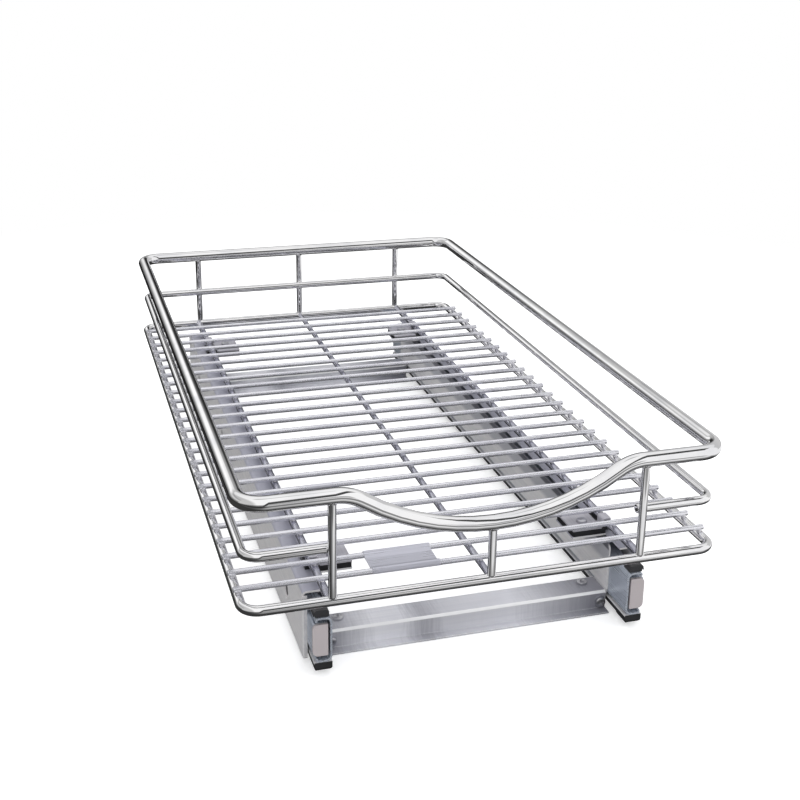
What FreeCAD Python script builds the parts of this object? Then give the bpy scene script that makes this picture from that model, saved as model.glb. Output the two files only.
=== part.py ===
"""Roll-out cabinet drawer.

A chromed wire basket rides on two ball-bearing slides above a steel base that is
screwed to a cabinet floor. Each slide is a fixed outer member, a ball cage and a
moving inner member. The basket pulls out towards -Y.

Lengths are in millimetres. The origin is on the cabinet floor, under the middle of
the basket. +X is to the right as seen from the front, +Y goes into the cabinet and
+Z is up. Places along Y are measured from the middle of the basket's front rail while
the pieces are made, and each piece is moved to the shared origin when it is saved.
"""
import FreeCAD, Part
import math
import os
from FreeCAD import Vector

# Basket: overall size and wire sizes
basket_width = 292.0
basket_depth = 519.0
base_rail_height = 51.5
middle_rail_rise = 30.5
top_rail_rise = 63.0
top_rail_d = 9.0
middle_rail_d = 5.6
base_rail_d = 6.0
post_d = 4.8
cross_wire_d = 3.5
runner_wire_d = 5.0
centre_wire_d = 4.0
top_corner_r = 14.0
middle_corner_r = 9.0
base_corner_r = 10.0

# Finger dip in the front of the top rail
dip_half_width = 90.5
dip_depth = 27.6
dip_shoulder_r = 27.5

# Places of the welded wires
post_spacing = 92.4
post_outset = 0.5
weld_sink = 1.2
middle_side_inset = 1.8
cross_wire_count = 25
first_cross_wire_y = 17.6
last_cross_wire_margin = 28.0
cross_wire_overhang = 2.5
touch_sink = 0.05

# Slides: one outer member, one inner member and one ball cage at each side
slide_x = 90.6
slide_front_y = 7.5
slide_back_gap = 2.5
slide_floor_gap = 8.6
slide_sheet = 1.2
outer_bend_r = 3.0
inner_bend_r = 1.0
outer_lip_bend_r = 1.0
outer_member_height = 28.2
outer_member_width = 9.6
outer_lip_drop = 1.4
inner_member_height = 20.0
inner_member_width = 8.8
slide_total_width = 11.2
ball_d = 3.5
ball_inset = 5.6
ball_clearance = 0.03
balls_per_row = 6
cage_length = 110.0
cage_sheet = 0.6
cage_ball_hole_clearance = 0.12
cage_web_gap = 0.3
cage_tip_gap = 0.6
travel = 380.0
closed_gap = 0.3
bumper_length = 8.0
bumper_corner_r = 2.0
end_cap_thickness = 2.0
end_cap_plug_length = 6.0
end_cap_corner_r = 3.0
end_cap_plug_gap = 0.4
stop_clip_setback = 1.0
stop_clip_length = 8.0
stop_clip_height = 4.6
stop_clip_inset = 1.5
stop_clip_gap = 0.4

# Base: inner walls, floor strips and cross rails
bracket_sheet = 1.2
bracket_front_y = 32.0
bracket_bottom_z = 13.0
bracket_top_z = 44.1
bracket_corner_r = 4.0
cross_rail_height = 12.5
cross_rail_front_y = 32.0
cross_rail_top_depth = 19.5
cross_rail_lip = 6.4
cross_rail_screw_flange = 12.0
cross_rail_end_gap = 0.2
mount_hole_d = 5.0
mount_hole_x = 60.0
mount_hole_setback = 7.0
strip_width = 10.5
strip_thickness = 3.5
strip_foot_length = 12.0
strip_foot_height = 6.2
strip_corner_r = 3.0
foot_length = 20.0
foot_depth = 16.0
foot_lip_height = 9.0
foot_screw_inset = 12.2
foot_screw_setback = 12.5
face_screw_inset = 5.0
face_screw_z = 5.3

# Carriage: outer walls that hang from the basket and carry the inner members
carriage_sheet = 1.2
carriage_standoff = 1.5
carriage_bottom_z = 3.5
carriage_top_z = 46.0
carriage_front_setback = 15.5
carriage_corner_r = 3.0
carriage_flange_inner_x = 92.0
carriage_bend_r = 2.0
clip_inner_x = 70.0
clip_length = 26.0
clip_front_offset = 3.5
clip_seat_inset = 4.0
clip_seat_overhang = 0.8
clip_block_corner_r = 1.5
clip_pitches = 1.5
clip_sheet = 1.2
clip_bend_r = 0.9
clip_hook_width = 8.0
clip_hook_inset = 1.0
clip_hook_gap = 0.3
runner_inset = 2.0
fuse_overlap = 1.0
clip_screw_inset = 10.0
clip_screw_setback = 9.9
rivet_d = 4.0
rivet_head_d = 7.0
rivet_head_height = 1.1
rivet_end_inset = 60.0
rivets_per_side = 4
dimple_d = 13.0
screw_d = 3.5
screw_hole_d = 3.8
screw_head_d = 6.6
screw_head_height = 2.2
screw_length = 9.0
rail_screw_length = 5.0
rim_round = 0.65

# Values worked out from the sizes above
middle_r = middle_rail_d / 2
base_r = base_rail_d / 2
post_r = post_d / 2
cross_r = cross_wire_d / 2
runner_r = runner_wire_d / 2
half_width = (basket_width - top_rail_d) / 2
loop_depth = basket_depth - top_rail_d
base_z = base_rail_height
middle_z = base_z + middle_rail_rise
top_z = base_z + top_rail_rise
cross_wire_z = base_z + base_r + cross_r - touch_sink
runner_z = cross_wire_z - cross_r - runner_r + touch_sink
last_cross_wire_y = loop_depth - last_cross_wire_margin
cross_wire_pitch = (last_cross_wire_y - first_cross_wire_y) / (cross_wire_count - 1)
middle_inset = post_r + middle_r - weld_sink - post_outset

slide_back_y = loop_depth - slide_back_gap
slide_length = slide_back_y - slide_front_y
slide_mid_z = slide_floor_gap + outer_member_height / 2
member_outer_x = slide_x + slide_total_width
member_inner_x = member_outer_x - inner_member_width
race_gap = (outer_member_height - inner_member_height) / 2 - slide_sheet
groove_r = ball_d / 2 + ball_clearance
ball_x = slide_x + ball_inset
ball_rise = outer_member_height / 2 - slide_sheet - race_gap / 2
cage_rest_y = slide_front_y + travel / 2 + (slide_length - bumper_length - travel - cage_length) / 2
inner_back_y = slide_back_y - bumper_length - closed_gap
stop_clip_reach = slide_total_width - outer_member_width - stop_clip_gap
bracket_x = slide_x - bracket_sheet
carriage_x = member_outer_x + carriage_standoff + carriage_sheet
clip_block_top_z = runner_z - runner_r + touch_sink
runner_x = carriage_flange_inner_x + runner_inset
clip_front_y = first_cross_wire_y + clip_pitches * cross_wire_pitch - clip_front_offset
clip_back_y = last_cross_wire_y - clip_pitches * cross_wire_pitch + clip_front_offset


def bent_rod(corners, bend_radii, diameter, closed=False):
    """Round rod along straight runs, with a tangent arc at each corner."""
    count = len(corners)
    bends = []
    for i in range(count):
        if not closed and i in (0, count - 1):
            bends.append((corners[i], corners[i], None, None, 0.0))
            continue
        before = (corners[i] - corners[i - 1]).normalize()
        after = (corners[(i + 1) % count] - corners[i]).normalize()
        turn = before.getAngle(after)
        reach = bend_radii[i] * math.tan(turn / 2)
        start = corners[i] - before * reach
        end = corners[i] + after * reach
        axis = before.cross(after).normalize()
        centre = start + axis.cross(before) * bend_radii[i]
        bends.append((start, end, centre, axis, math.degrees(turn)))

    pieces = []
    last = count if closed else count - 1
    for i in range(last):
        run_start = bends[i][1]
        run_end = bends[(i + 1) % count][0]
        run = run_end - run_start
        if run.Length > 0.001:
            disc = rod_disc(run_start, run, diameter)
            pieces.append(disc.extrude(run))
    for i in range(count):
        start, _, centre, axis, turn = bends[i]
        if axis is not None:
            heading = corners[i] - corners[i - 1]
            disc = rod_disc(start, heading, diameter)
            pieces.append(disc.revolve(centre, axis, turn))
    return pieces[0].multiFuse(pieces[1:]).removeSplitter()


def rod_disc(centre, heading, diameter):
    """Round face of a rod, square to its heading."""
    edge = Part.makeCircle(diameter / 2, centre, heading)
    return Part.Face(Part.Wire(edge))


def sheet_section(points, bend_radii, thickness, y):
    """Section of a bent sheet in the XZ plane, from the points of its middle line."""
    corners = [Vector(x, y, z) for x, z in points]
    sides = []
    for side in (0.5, -0.5):
        offset = side * thickness
        edges = []
        pen = corners[0] + left_of(corners[1] - corners[0]) * offset
        for i in range(1, len(corners) - 1):
            before = (corners[i] - corners[i - 1]).normalize()
            after = (corners[i + 1] - corners[i]).normalize()
            turn = before.getAngle(after)
            bend_r = bend_radii[i - 1]
            reach = bend_r * math.tan(turn / 2)
            arc_start = corners[i] - before * reach
            arc_end = corners[i] + after * reach
            inward = (after - before).normalize()
            centre = corners[i] + inward * (bend_r / math.cos(turn / 2))
            arc_middle = centre - inward * bend_r
            run_end = arc_start + left_of(before) * offset
            next_pen = arc_end + left_of(after) * offset
            through = arc_middle + left_of(before + after) * offset
            edges.append(Part.makeLine(pen, run_end))
            edges.append(Part.Arc(run_end, through, next_pen).toShape())
            pen = next_pen
        last_point = corners[-1] + left_of(corners[-1] - corners[-2]) * offset
        edges.append(Part.makeLine(pen, last_point))
        sides.append(edges)
    start_cap = Part.makeLine(sides[0][0].Vertexes[0].Point, sides[1][0].Vertexes[0].Point)
    end_cap = Part.makeLine(sides[0][-1].Vertexes[-1].Point, sides[1][-1].Vertexes[-1].Point)
    outline = Part.__sortEdges__(sides[0] + [end_cap] + sides[1] + [start_cap])
    return Part.Face(Part.Wire(outline))


def left_of(heading):
    """Unit vector in the XZ plane, a quarter turn to the left of a heading."""
    return Vector(-heading.z, 0, heading.x).normalize()


def polygon_prism(points, y, length):
    """Prism along Y whose XZ outline has the given corners."""
    corners = [Vector(x, y, z) for x, z in points]
    outline = Part.makePolygon(corners + [corners[0]])
    return Part.Face(outline).extrude(Vector(0, length, 0))


def box_between(low, high):
    """Box between two opposite corners."""
    size = Vector(*high) - Vector(*low)
    return Part.makeBox(size.x, size.y, size.z, Vector(*low))


def cylinder_along(start, heading, diameter, length):
    """Round bar from a start point along a heading."""
    return Part.makeCylinder(diameter / 2, length, Vector(*start), Vector(*heading))


def edges_along(shape, axis, test):
    """Straight edges along one axis whose middle point passes a test."""
    found = []
    for edge in shape.Edges:
        if edge.Curve.TypeId != "Part::GeomLine":
            continue
        run = edge.Vertexes[-1].Point - edge.Vertexes[0].Point
        if abs(abs(run.normalize().dot(axis)) - 1) < 1e-6 and test(edge.CenterOfMass):
            found.append(edge)
    return found


def mirrored(shape):
    """The same shape at the other side of the drawer."""
    return shape.mirror(Vector(0, 0, 0), Vector(1, 0, 0))


def save(name, shapes):
    """Write one node as a STEP file, as separate solids."""
    to_origin = Vector(0, -loop_depth / 2, 0)
    solids = []
    for shape in shapes:
        solids.extend(shape.translated(to_origin).Solids)
    node = solids[0] if len(solids) == 1 else Part.makeCompound(solids)
    node.exportStep("parts/" + name + ".step")


def make_top_rail():
    """Thick closed rail with the finger dip at its front."""
    curve_sum = (dip_half_width ** 2 + dip_depth ** 2) / (2 * dip_depth)
    slope = math.asin(dip_half_width / curve_sum)
    dip_r = curve_sum - dip_shoulder_r
    shoulder_x = dip_half_width - dip_shoulder_r * math.tan(slope / 2)
    apex_z = top_z - shoulder_x * math.tan(slope)
    corners = [
        Vector(-half_width, 0, top_z),
        Vector(-shoulder_x, 0, top_z),
        Vector(0, 0, apex_z),
        Vector(shoulder_x, 0, top_z),
        Vector(half_width, 0, top_z),
        Vector(half_width, loop_depth, top_z),
        Vector(-half_width, loop_depth, top_z),
    ]
    radii = [top_corner_r, dip_shoulder_r, dip_r, dip_shoulder_r]
    radii += [top_corner_r] * 3
    return bent_rod(corners, radii, top_rail_d, closed=True)


def make_middle_rail():
    """Thin rail from behind one front post, round the back, to behind the other."""
    side_x = half_width - middle_side_inset
    end_x = post_spacing - post_r
    front_y = middle_inset
    back_y = loop_depth - middle_inset
    corners = [
        Vector(-end_x, front_y, middle_z),
        Vector(-side_x, front_y, middle_z),
        Vector(-side_x, back_y, middle_z),
        Vector(side_x, back_y, middle_z),
        Vector(side_x, front_y, middle_z),
        Vector(end_x, front_y, middle_z),
    ]
    radii = [0.0] + [middle_corner_r] * 4 + [0.0]
    return bent_rod(corners, radii, middle_rail_d)


def make_base_rail():
    """Closed rail round the floor of the basket."""
    corners = [
        Vector(-half_width, 0, base_z),
        Vector(half_width, 0, base_z),
        Vector(half_width, loop_depth, base_z),
        Vector(-half_width, loop_depth, base_z),
    ]
    return bent_rod(corners, [base_corner_r] * 4, base_rail_d, closed=True)


def make_posts(y, rails):
    """Three upright posts at one end, saddled onto the rails that they are welded to."""
    posts = []
    for x in (-post_spacing, 0.0, post_spacing):
        post = cylinder_along((x, y, base_z), (0, 0, 1), post_d, top_rail_rise)
        for rail in rails:
            post = post.cut(rail)
        posts.append(max(post.Solids, key=lambda solid: solid.Volume))
    return posts


def make_cross_wires():
    """Thin wires side by side, laid across the base rail."""
    reach = half_width + cross_wire_overhang
    wires = []
    for i in range(cross_wire_count):
        y = first_cross_wire_y + i * cross_wire_pitch
        wires.append(cylinder_along((-reach, y, cross_wire_z), (1, 0, 0), cross_wire_d, 2 * reach))
    return wires


def make_long_wire(x, diameter, neighbours):
    """Wire from front to back under the cross wires, butted to the rail and posts it meets."""
    z = cross_wire_z - cross_r - diameter / 2 + touch_sink
    wire = cylinder_along((x, 0, z), (0, 1, 0), diameter, loop_depth)
    for neighbour in neighbours:
        wire = wire.cut(neighbour)
    return max(wire.Solids, key=lambda solid: solid.Volume)


def make_outer_member():
    """Fixed slide member: a channel open outwards, with lips and a race at top and bottom."""
    half = slide_sheet / 2
    web_x = slide_x + half
    tip_x = slide_x + outer_member_width - half
    top = slide_mid_z + outer_member_height / 2 - half
    bottom = slide_mid_z - outer_member_height / 2 + half
    drop = outer_lip_drop + half
    points = [
        (tip_x, top - drop),
        (tip_x, top),
        (web_x, top),
        (web_x, bottom),
        (tip_x, bottom),
        (tip_x, bottom + drop),
    ]
    radii = [outer_lip_bend_r, outer_bend_r, outer_bend_r, outer_lip_bend_r]
    section = sheet_section(points, radii, slide_sheet, slide_front_y)
    member = section.extrude(Vector(0, slide_length, 0))
    return cut_races(member, slide_front_y, slide_length)


def make_inner_member():
    """Moving slide member: a channel open inwards, with a race on each leg."""
    half = slide_sheet / 2
    web_x = member_outer_x - half
    top = slide_mid_z + inner_member_height / 2 - half
    bottom = slide_mid_z - inner_member_height / 2 + half
    start_y = slide_front_y + end_cap_thickness
    points = [(member_inner_x, top), (web_x, top), (web_x, bottom), (member_inner_x, bottom)]
    section = sheet_section(points, [inner_bend_r] * 2, slide_sheet, start_y)
    member = section.extrude(Vector(0, inner_back_y - start_y, 0))
    member = cut_races(member, start_y, inner_back_y - start_y)
    for y in rivet_places():
        member = member.cut(rivet_hole(y))
    return member


def cut_races(member, start_y, length):
    """Roll the two round ball grooves into a slide member."""
    for side in (1, -1):
        groove_z = slide_mid_z + side * ball_rise
        groove = cylinder_along((ball_x, start_y, groove_z), (0, 1, 0), 2 * groove_r, length)
        member = member.cut(groove)
    return member


def make_end_cap():
    """Cap that closes the front end of the inner member, with a plug inside it."""
    low_z = slide_mid_z - inner_member_height / 2
    high_z = slide_mid_z + inner_member_height / 2
    plate = box_between(
        (member_inner_x, slide_front_y, low_z),
        (member_outer_x, slide_front_y + end_cap_thickness, high_z),
    )
    corners = edges_along(plate, Vector(0, 1, 0), lambda p: p.x > member_outer_x - 0.1)
    plate = plate.makeFillet(end_cap_corner_r, corners)
    inset = slide_sheet + end_cap_plug_gap
    plug = box_between(
        (member_inner_x + end_cap_plug_gap, slide_front_y + end_cap_thickness, low_z + inset),
        (member_outer_x - inset, slide_front_y + end_cap_thickness + end_cap_plug_length, high_z - inset),
    )
    return plate.fuse(plug).removeSplitter()


def make_rear_bumper():
    """Rubber block in the back of the outer member, which the inner member closes onto."""
    low_z = slide_mid_z - inner_member_height / 2
    high_z = slide_mid_z + inner_member_height / 2
    block = box_between(
        (slide_x + slide_sheet, slide_back_y - bumper_length, low_z),
        (slide_x + outer_member_width, slide_back_y, high_z),
    )
    corners = edges_along(block, Vector(0, 1, 0), lambda p: p.x > slide_x + outer_member_width - 0.1)
    return block.makeFillet(bumper_corner_r, corners)


def make_ball_cage():
    """Thin bent strip with a row of ball holes in its upper and its lower flange."""
    half = cage_sheet / 2
    web_x = slide_x + slide_sheet + cage_web_gap + half
    tip_x = slide_x + outer_member_width - slide_sheet - cage_tip_gap
    top = slide_mid_z + ball_rise
    bottom = slide_mid_z - ball_rise
    points = [(tip_x, top), (web_x, top), (web_x, bottom), (tip_x, bottom)]
    section = sheet_section(points, [cage_sheet] * 2, cage_sheet, cage_rest_y)
    cage = section.extrude(Vector(0, cage_length, 0))
    hole_d = ball_d + 2 * cage_ball_hole_clearance
    for y in ball_rows():
        hole = cylinder_along((ball_x, y, bottom - ball_d), (0, 0, 1), hole_d, top - bottom + 2 * ball_d)
        cage = cage.cut(hole)
    return cage


def ball_rows():
    """Places of the balls along the cage."""
    end_margin = ball_d * 2
    step = (cage_length - 2 * end_margin) / (balls_per_row - 1)
    return [cage_rest_y + end_margin + i * step for i in range(balls_per_row)]


def make_balls():
    """Steel balls between the races of one slide."""
    balls = []
    for side in (1, -1):
        for y in ball_rows():
            centre = Vector(ball_x, y, slide_mid_z + side * ball_rise)
            balls.append(Part.makeSphere(ball_d / 2, centre))
    return balls


def make_base_bracket():
    """Fixed inner wall behind the outer member, with a foot inside each cross rail."""
    wall = box_between(
        (bracket_x, bracket_front_y, bracket_bottom_z),
        (slide_x, loop_depth - bracket_front_y, bracket_top_z),
    )
    ends = edges_along(wall, Vector(1, 0, 0), lambda p: p.z > bracket_top_z - 0.1)
    wall = wall.makeFillet(bracket_corner_r, ends)
    front_foot = make_foot()
    return wall.multiFuse([front_foot, end_for_end(front_foot)]).removeSplitter()


def make_foot():
    """Foot of the inner wall: a tab under the cross rail's top with a lip behind its face."""
    top_z_foot = cross_rail_height - bracket_sheet
    start_y = cross_rail_front_y + bracket_sheet
    tab = box_between(
        (slide_x - foot_length, start_y, top_z_foot - bracket_sheet),
        (slide_x, start_y + foot_depth, top_z_foot),
    )
    neck = box_between(
        (bracket_x, start_y, top_z_foot - bracket_sheet),
        (slide_x, start_y + foot_depth, bracket_bottom_z),
    )
    lip = box_between(
        (slide_x - foot_length, start_y, top_z_foot - foot_lip_height),
        (bracket_x, start_y + bracket_sheet, top_z_foot),
    )
    foot = tab.multiFuse([neck, lip]).removeSplitter()
    for screw in cross_rail_screw_places():
        foot = foot.cut(screw_hole(screw))
    return foot


def end_for_end(shape):
    """The same shape at the other end of the drawer."""
    return shape.mirror(Vector(0, loop_depth / 2, 0), Vector(0, 1, 0))


def cross_rail_screw_places():
    """Seat and heading of the two screws at the right end of the front cross rail."""
    top_seat = (slide_x - foot_screw_inset, cross_rail_front_y + foot_screw_setback, cross_rail_height)
    face_seat = (slide_x - face_screw_inset, cross_rail_front_y, face_screw_z)
    return [(top_seat, (0, 0, -1)), (face_seat, (0, 1, 0))]


def screw_hole(screw):
    """Clearance hole on the axis of a screw, a little longer than the screw."""
    seat, heading = screw
    start = Vector(*seat) - Vector(*heading) * 2
    return cylinder_along(tuple(start), heading, screw_hole_d, screw_length + 2)


def make_screw(seat, heading, length):
    """Pan-head screw whose head rests on its seat."""
    direction = Vector(*heading)
    shank = cylinder_along(seat, heading, screw_d, length)
    tip = Vector(*seat) - direction * screw_head_height
    head = Part.makeCylinder(screw_head_d / 2, screw_head_height, tip, direction)
    rim = [edge for edge in head.Edges if edge.Closed and (edge.CenterOfMass - tip).Length < 0.01]
    head = head.makeFillet(screw_head_height * rim_round, rim)
    return head.fuse(shank).removeSplitter()


def make_front_cross_rail():
    """Hat-section rail under both slides, with screw holes in its rear flange."""
    half = bracket_sheet / 2
    reach = bracket_x - cross_rail_end_gap
    front = cross_rail_front_y
    back = front + cross_rail_top_depth
    high = cross_rail_height - half
    outline = [
        (front - cross_rail_lip, half),
        (front + half, half),
        (front + half, high),
        (back - half, high),
        (back - half, half),
        (back + cross_rail_screw_flange, half),
    ]
    section = sheet_section(outline, [bracket_sheet] * 4, bracket_sheet, 0)
    rail = section.extrude(Vector(0, 2 * reach, 0))
    rail.rotate(Vector(0, 0, 0), Vector(0, 0, 1), 90)
    rail.translate(Vector(reach, 0, 0))
    hole_y = back + mount_hole_setback
    for x in (-mount_hole_x, mount_hole_x):
        rail = rail.cut(cylinder_along((x, hole_y, -1), (0, 0, 1), mount_hole_d, bracket_sheet + 2))
    for screw in cross_rail_screw_places():
        hole = screw_hole(screw)
        rail = rail.cut(hole)
        rail = rail.cut(mirrored(hole))
    return rail


def make_cross_rail_screws():
    """Screws at the right end of the front cross rail."""
    return [make_screw(seat, heading, rail_screw_length) for seat, heading in cross_rail_screw_places()]


def make_floor_strip():
    """Rubber strip under the outer member, with a round-nosed foot at each end."""
    strip = box_between(
        (slide_x, slide_front_y + strip_foot_length / 2, slide_floor_gap - strip_thickness),
        (slide_x + strip_width, slide_back_y - strip_foot_length / 2, slide_floor_gap),
    )
    foot_z = slide_floor_gap - strip_foot_height
    foot = box_between(
        (slide_x, slide_front_y, foot_z),
        (slide_x + strip_width, slide_front_y + strip_foot_length, slide_floor_gap),
    )
    lower = edges_along(foot, Vector(0, 1, 0), lambda p: p.z < foot_z + 0.1)
    nose = edges_along(foot, Vector(1, 0, 0), lambda p: p.z < foot_z + 0.1)
    foot = foot.makeFillet(strip_corner_r, lower + nose)
    shift = Vector(0, slide_front_y + slide_back_y, 0)
    rear_foot = foot.mirror(Vector(0, 0, 0), Vector(0, 1, 0)).translated(shift)
    return strip.multiFuse([foot, rear_foot]).removeSplitter()


def make_stop_clip():
    """Clip on the upper lip of the outer member, with a hook over its edge."""
    base = slide_floor_gap + outer_member_height
    height = stop_clip_height
    reach = stop_clip_reach
    left = slide_x + stop_clip_inset
    right = slide_x + outer_member_width
    outline = [
        (left, base),
        (right, base),
        (right + reach * 0.1, base + height * 0.4),
        (right + reach * 0.6, base + height * 0.15),
        (right + reach, base + height * 0.3),
        (right + reach * 0.6, base + height * 0.75),
        (right - reach * 0.75, base + height),
        (left + reach * 0.5, base + height * 0.9),
        (left, base + height * 0.65),
    ]
    return polygon_prism(outline, slide_front_y + stop_clip_setback, stop_clip_length)


def make_carriage():
    """Moving outer wall with a front return, a flange over the slide and two clip tabs."""
    half = carriage_sheet / 2
    start_y = slide_front_y + carriage_front_setback
    points = [
        (carriage_flange_inner_x, carriage_top_z - half),
        (carriage_x - half, carriage_top_z - half),
        (carriage_x - half, carriage_bottom_z),
    ]
    section = sheet_section(points, [carriage_bend_r], carriage_sheet, start_y)
    body = section.extrude(Vector(0, inner_back_y - start_y, 0))
    front_return = box_between(
        (member_outer_x, start_y - carriage_sheet, carriage_bottom_z),
        (carriage_x, start_y, carriage_top_z - half - carriage_bend_r),
    )
    upright = Vector(0, 0, 1)
    fold = edges_along(front_return, upright, lambda p: p.x > carriage_x - 0.1 and p.y < start_y - 0.1)
    additions = [front_return.makeFillet(carriage_sheet * 0.9, fold)]
    for low_y, high_y, screw_y in clip_places():
        tab = box_between(
            (clip_inner_x, low_y, carriage_top_z - carriage_sheet),
            (carriage_flange_inner_x + 0.5, high_y, carriage_top_z),
        )
        additions.append(tab.cut(clip_hole(screw_y)))
    for y in rivet_places():
        boss_start = (member_outer_x, y, slide_mid_z)
        additions.append(cylinder_along(boss_start, (1, 0, 0), dimple_d, carriage_standoff + half))
    body = body.multiFuse(additions).removeSplitter()
    low = edges_along(body, Vector(1, 0, 0), lambda p: p.z < carriage_bottom_z + 0.1 and p.y > start_y + 5)
    body = body.makeFillet(carriage_corner_r, low)
    for y in rivet_places():
        dimple_start = (member_outer_x + carriage_sheet, y, slide_mid_z)
        dimple = cylinder_along(dimple_start, (1, 0, 0), dimple_d - 2 * carriage_sheet, carriage_x)
        body = body.cut(dimple).cut(rivet_hole(y))
    return body


def rivet_places():
    """Places of the rivets that join the carriage to the inner member."""
    first = slide_front_y + rivet_end_inset
    last = inner_back_y - rivet_end_inset
    step = (last - first) / (rivets_per_side - 1)
    return [first + i * step for i in range(rivets_per_side)]


def rivet_hole(y):
    """Hole for one rivet."""
    start = (member_outer_x - slide_sheet - 1, y, slide_mid_z)
    return cylinder_along(start, (1, 0, 0), rivet_d, slide_sheet + carriage_standoff + carriage_sheet + 2)


def make_rivets():
    """Rivets between the carriage and the inner member, with a head at each end."""
    rivets = []
    inside = member_outer_x - slide_sheet
    outside = member_outer_x + carriage_sheet
    for y in rivet_places():
        shank = cylinder_along((inside, y, slide_mid_z), (1, 0, 0), rivet_d, outside - inside)
        inner_start = (inside - rivet_head_height, y, slide_mid_z)
        inner_head = cylinder_along(inner_start, (1, 0, 0), rivet_head_d, rivet_head_height)
        outer_head = cylinder_along((outside, y, slide_mid_z), (1, 0, 0), rivet_head_d, rivet_head_height)
        rim = [edge for edge in outer_head.Edges if edge.Closed and edge.CenterOfMass.x > outside + 0.1]
        outer_head = outer_head.makeFillet(rivet_head_height * rim_round, rim)
        rivets.append(shank.multiFuse([inner_head, outer_head]).removeSplitter())
    return rivets


def clip_places():
    """Front edge, back edge and screw place of the clips along one side."""
    front = (clip_front_y, clip_front_y + clip_length, clip_front_y + clip_screw_setback)
    back = (clip_back_y - clip_length, clip_back_y, clip_back_y - clip_screw_setback)
    return [front, back]


def clip_screw_x():
    """Distance of the clip screws from the centre line."""
    return clip_inner_x + clip_screw_inset


def clip_hole(screw_y):
    """Clearance hole for a clip screw through its plate, block and tab."""
    low = carriage_top_z - carriage_sheet - 1
    return cylinder_along((clip_screw_x(), screw_y, low), (0, 0, 1), screw_hole_d, 12)


def make_clip_blocks():
    """Plastic blocks on the carriage tabs, which the runner wires rest on."""
    blocks = []
    for low_y, high_y, screw_y in clip_places():
        block = box_between(
            (clip_inner_x, low_y, carriage_top_z),
            (carriage_flange_inner_x, high_y, clip_block_top_z),
        )
        upright = edges_along(block, Vector(0, 0, 1), lambda p: p.x < clip_inner_x + 0.1)
        block = block.makeFillet(clip_block_corner_r, upright)
        seat = box_between(
            (carriage_flange_inner_x - fuse_overlap, low_y + clip_seat_inset, carriage_top_z),
            (runner_x + runner_r + clip_seat_overhang, high_y - clip_seat_inset, clip_block_top_z),
        )
        blocks.append(block.fuse(seat).removeSplitter().cut(clip_hole(screw_y)))
    return blocks


def make_clip_plates():
    """Steel plates on the blocks, each with a hook over its runner wire."""
    plates = []
    half = clip_sheet / 2
    hook_x = runner_x - runner_r - half - clip_hook_gap
    flat_end_x = hook_x - clip_bend_r - half
    hook_z = runner_z + runner_r + half
    for low_y, high_y, screw_y in clip_places():
        flat = box_between(
            (clip_inner_x, low_y, clip_block_top_z),
            (flat_end_x, high_y, clip_block_top_z + clip_sheet),
        )
        points = [
            (flat_end_x - fuse_overlap, clip_block_top_z + half),
            (hook_x, clip_block_top_z + half),
            (hook_x, hook_z),
            (runner_x + runner_r * 0.6, hook_z),
        ]
        front_clip = low_y < loop_depth / 2
        hook_y = low_y + clip_hook_inset if front_clip else high_y - clip_hook_inset - clip_hook_width
        section = sheet_section(points, [clip_bend_r] * 2, clip_sheet, hook_y)
        hook = section.extrude(Vector(0, clip_hook_width, 0))
        plates.append(flat.fuse(hook).removeSplitter().cut(clip_hole(screw_y)))
    return plates


def make_clip_screws():
    """Screws that clamp the clips of one side."""
    seat_z = clip_block_top_z + clip_sheet
    screws = []
    for _, _, screw_y in clip_places():
        screws.append(make_screw((clip_screw_x(), screw_y, seat_z), (0, 0, -1), screw_length))
    return screws


def both_sides(shapes):
    """The shapes of the right-hand side with their mirror images."""
    return shapes + [mirrored(shape) for shape in shapes]


def save_left_and_right(name, shapes):
    """Write one node for each side of the drawer."""
    save(name + "_right", shapes)
    save(name + "_left", [mirrored(shape) for shape in shapes])


def build_basket():
    """Welded wire basket."""
    top_rail = make_top_rail()
    middle_rail = make_middle_rail()
    base_rail = make_base_rail()
    rails = [top_rail, middle_rail, base_rail]
    save("top_rail", [top_rail])
    save("middle_rail", [middle_rail])
    save("base_rail", [base_rail])
    front_posts = make_posts(-post_outset, rails)
    rear_posts = make_posts(loop_depth + post_outset, rails)
    ends = [base_rail] + front_posts + rear_posts
    save("front_posts", front_posts)
    save("rear_posts", rear_posts)
    save("cross_wires", make_cross_wires())
    save("centre_wire", [make_long_wire(0.0, centre_wire_d, ends)])
    save("runner_wires", both_sides([make_long_wire(runner_x, runner_wire_d, ends)]))


def build_carriage():
    """Moving steelwork between the basket and the slides."""
    save_left_and_right("carriage", [make_carriage()])
    save_left_and_right("inner_slide", [make_inner_member()])
    save("slide_end_caps", both_sides([make_end_cap()]))
    save("slide_rivets", both_sides(make_rivets()))
    save("clip_blocks", both_sides(make_clip_blocks()))
    save("clip_plates", both_sides(make_clip_plates()))
    save("clip_screws", both_sides(make_clip_screws()))


def build_slides():
    """Ball cages and balls between the fixed and the moving members."""
    save_left_and_right("ball_cage", [make_ball_cage()])
    save_left_and_right("slide_balls", make_balls())


def build_base():
    """Fixed steelwork that is screwed to the cabinet floor."""
    front_rail = make_front_cross_rail()
    screws = both_sides(make_cross_rail_screws())
    save("front_cross_rail", [front_rail])
    save("rear_cross_rail", [end_for_end(front_rail)])
    save("front_rail_screws", screws)
    save("rear_rail_screws", [end_for_end(screw) for screw in screws])
    save_left_and_right("base_bracket", [make_base_bracket()])
    save_left_and_right("outer_slide", [make_outer_member()])
    save_left_and_right("floor_strip", [make_floor_strip()])
    save("stop_clips", both_sides([make_stop_clip()]))
    save("rear_bumpers", both_sides([make_rear_bumper()]))


os.makedirs("parts", exist_ok=True)
build_basket()
build_carriage()
build_slides()
build_base()
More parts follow.
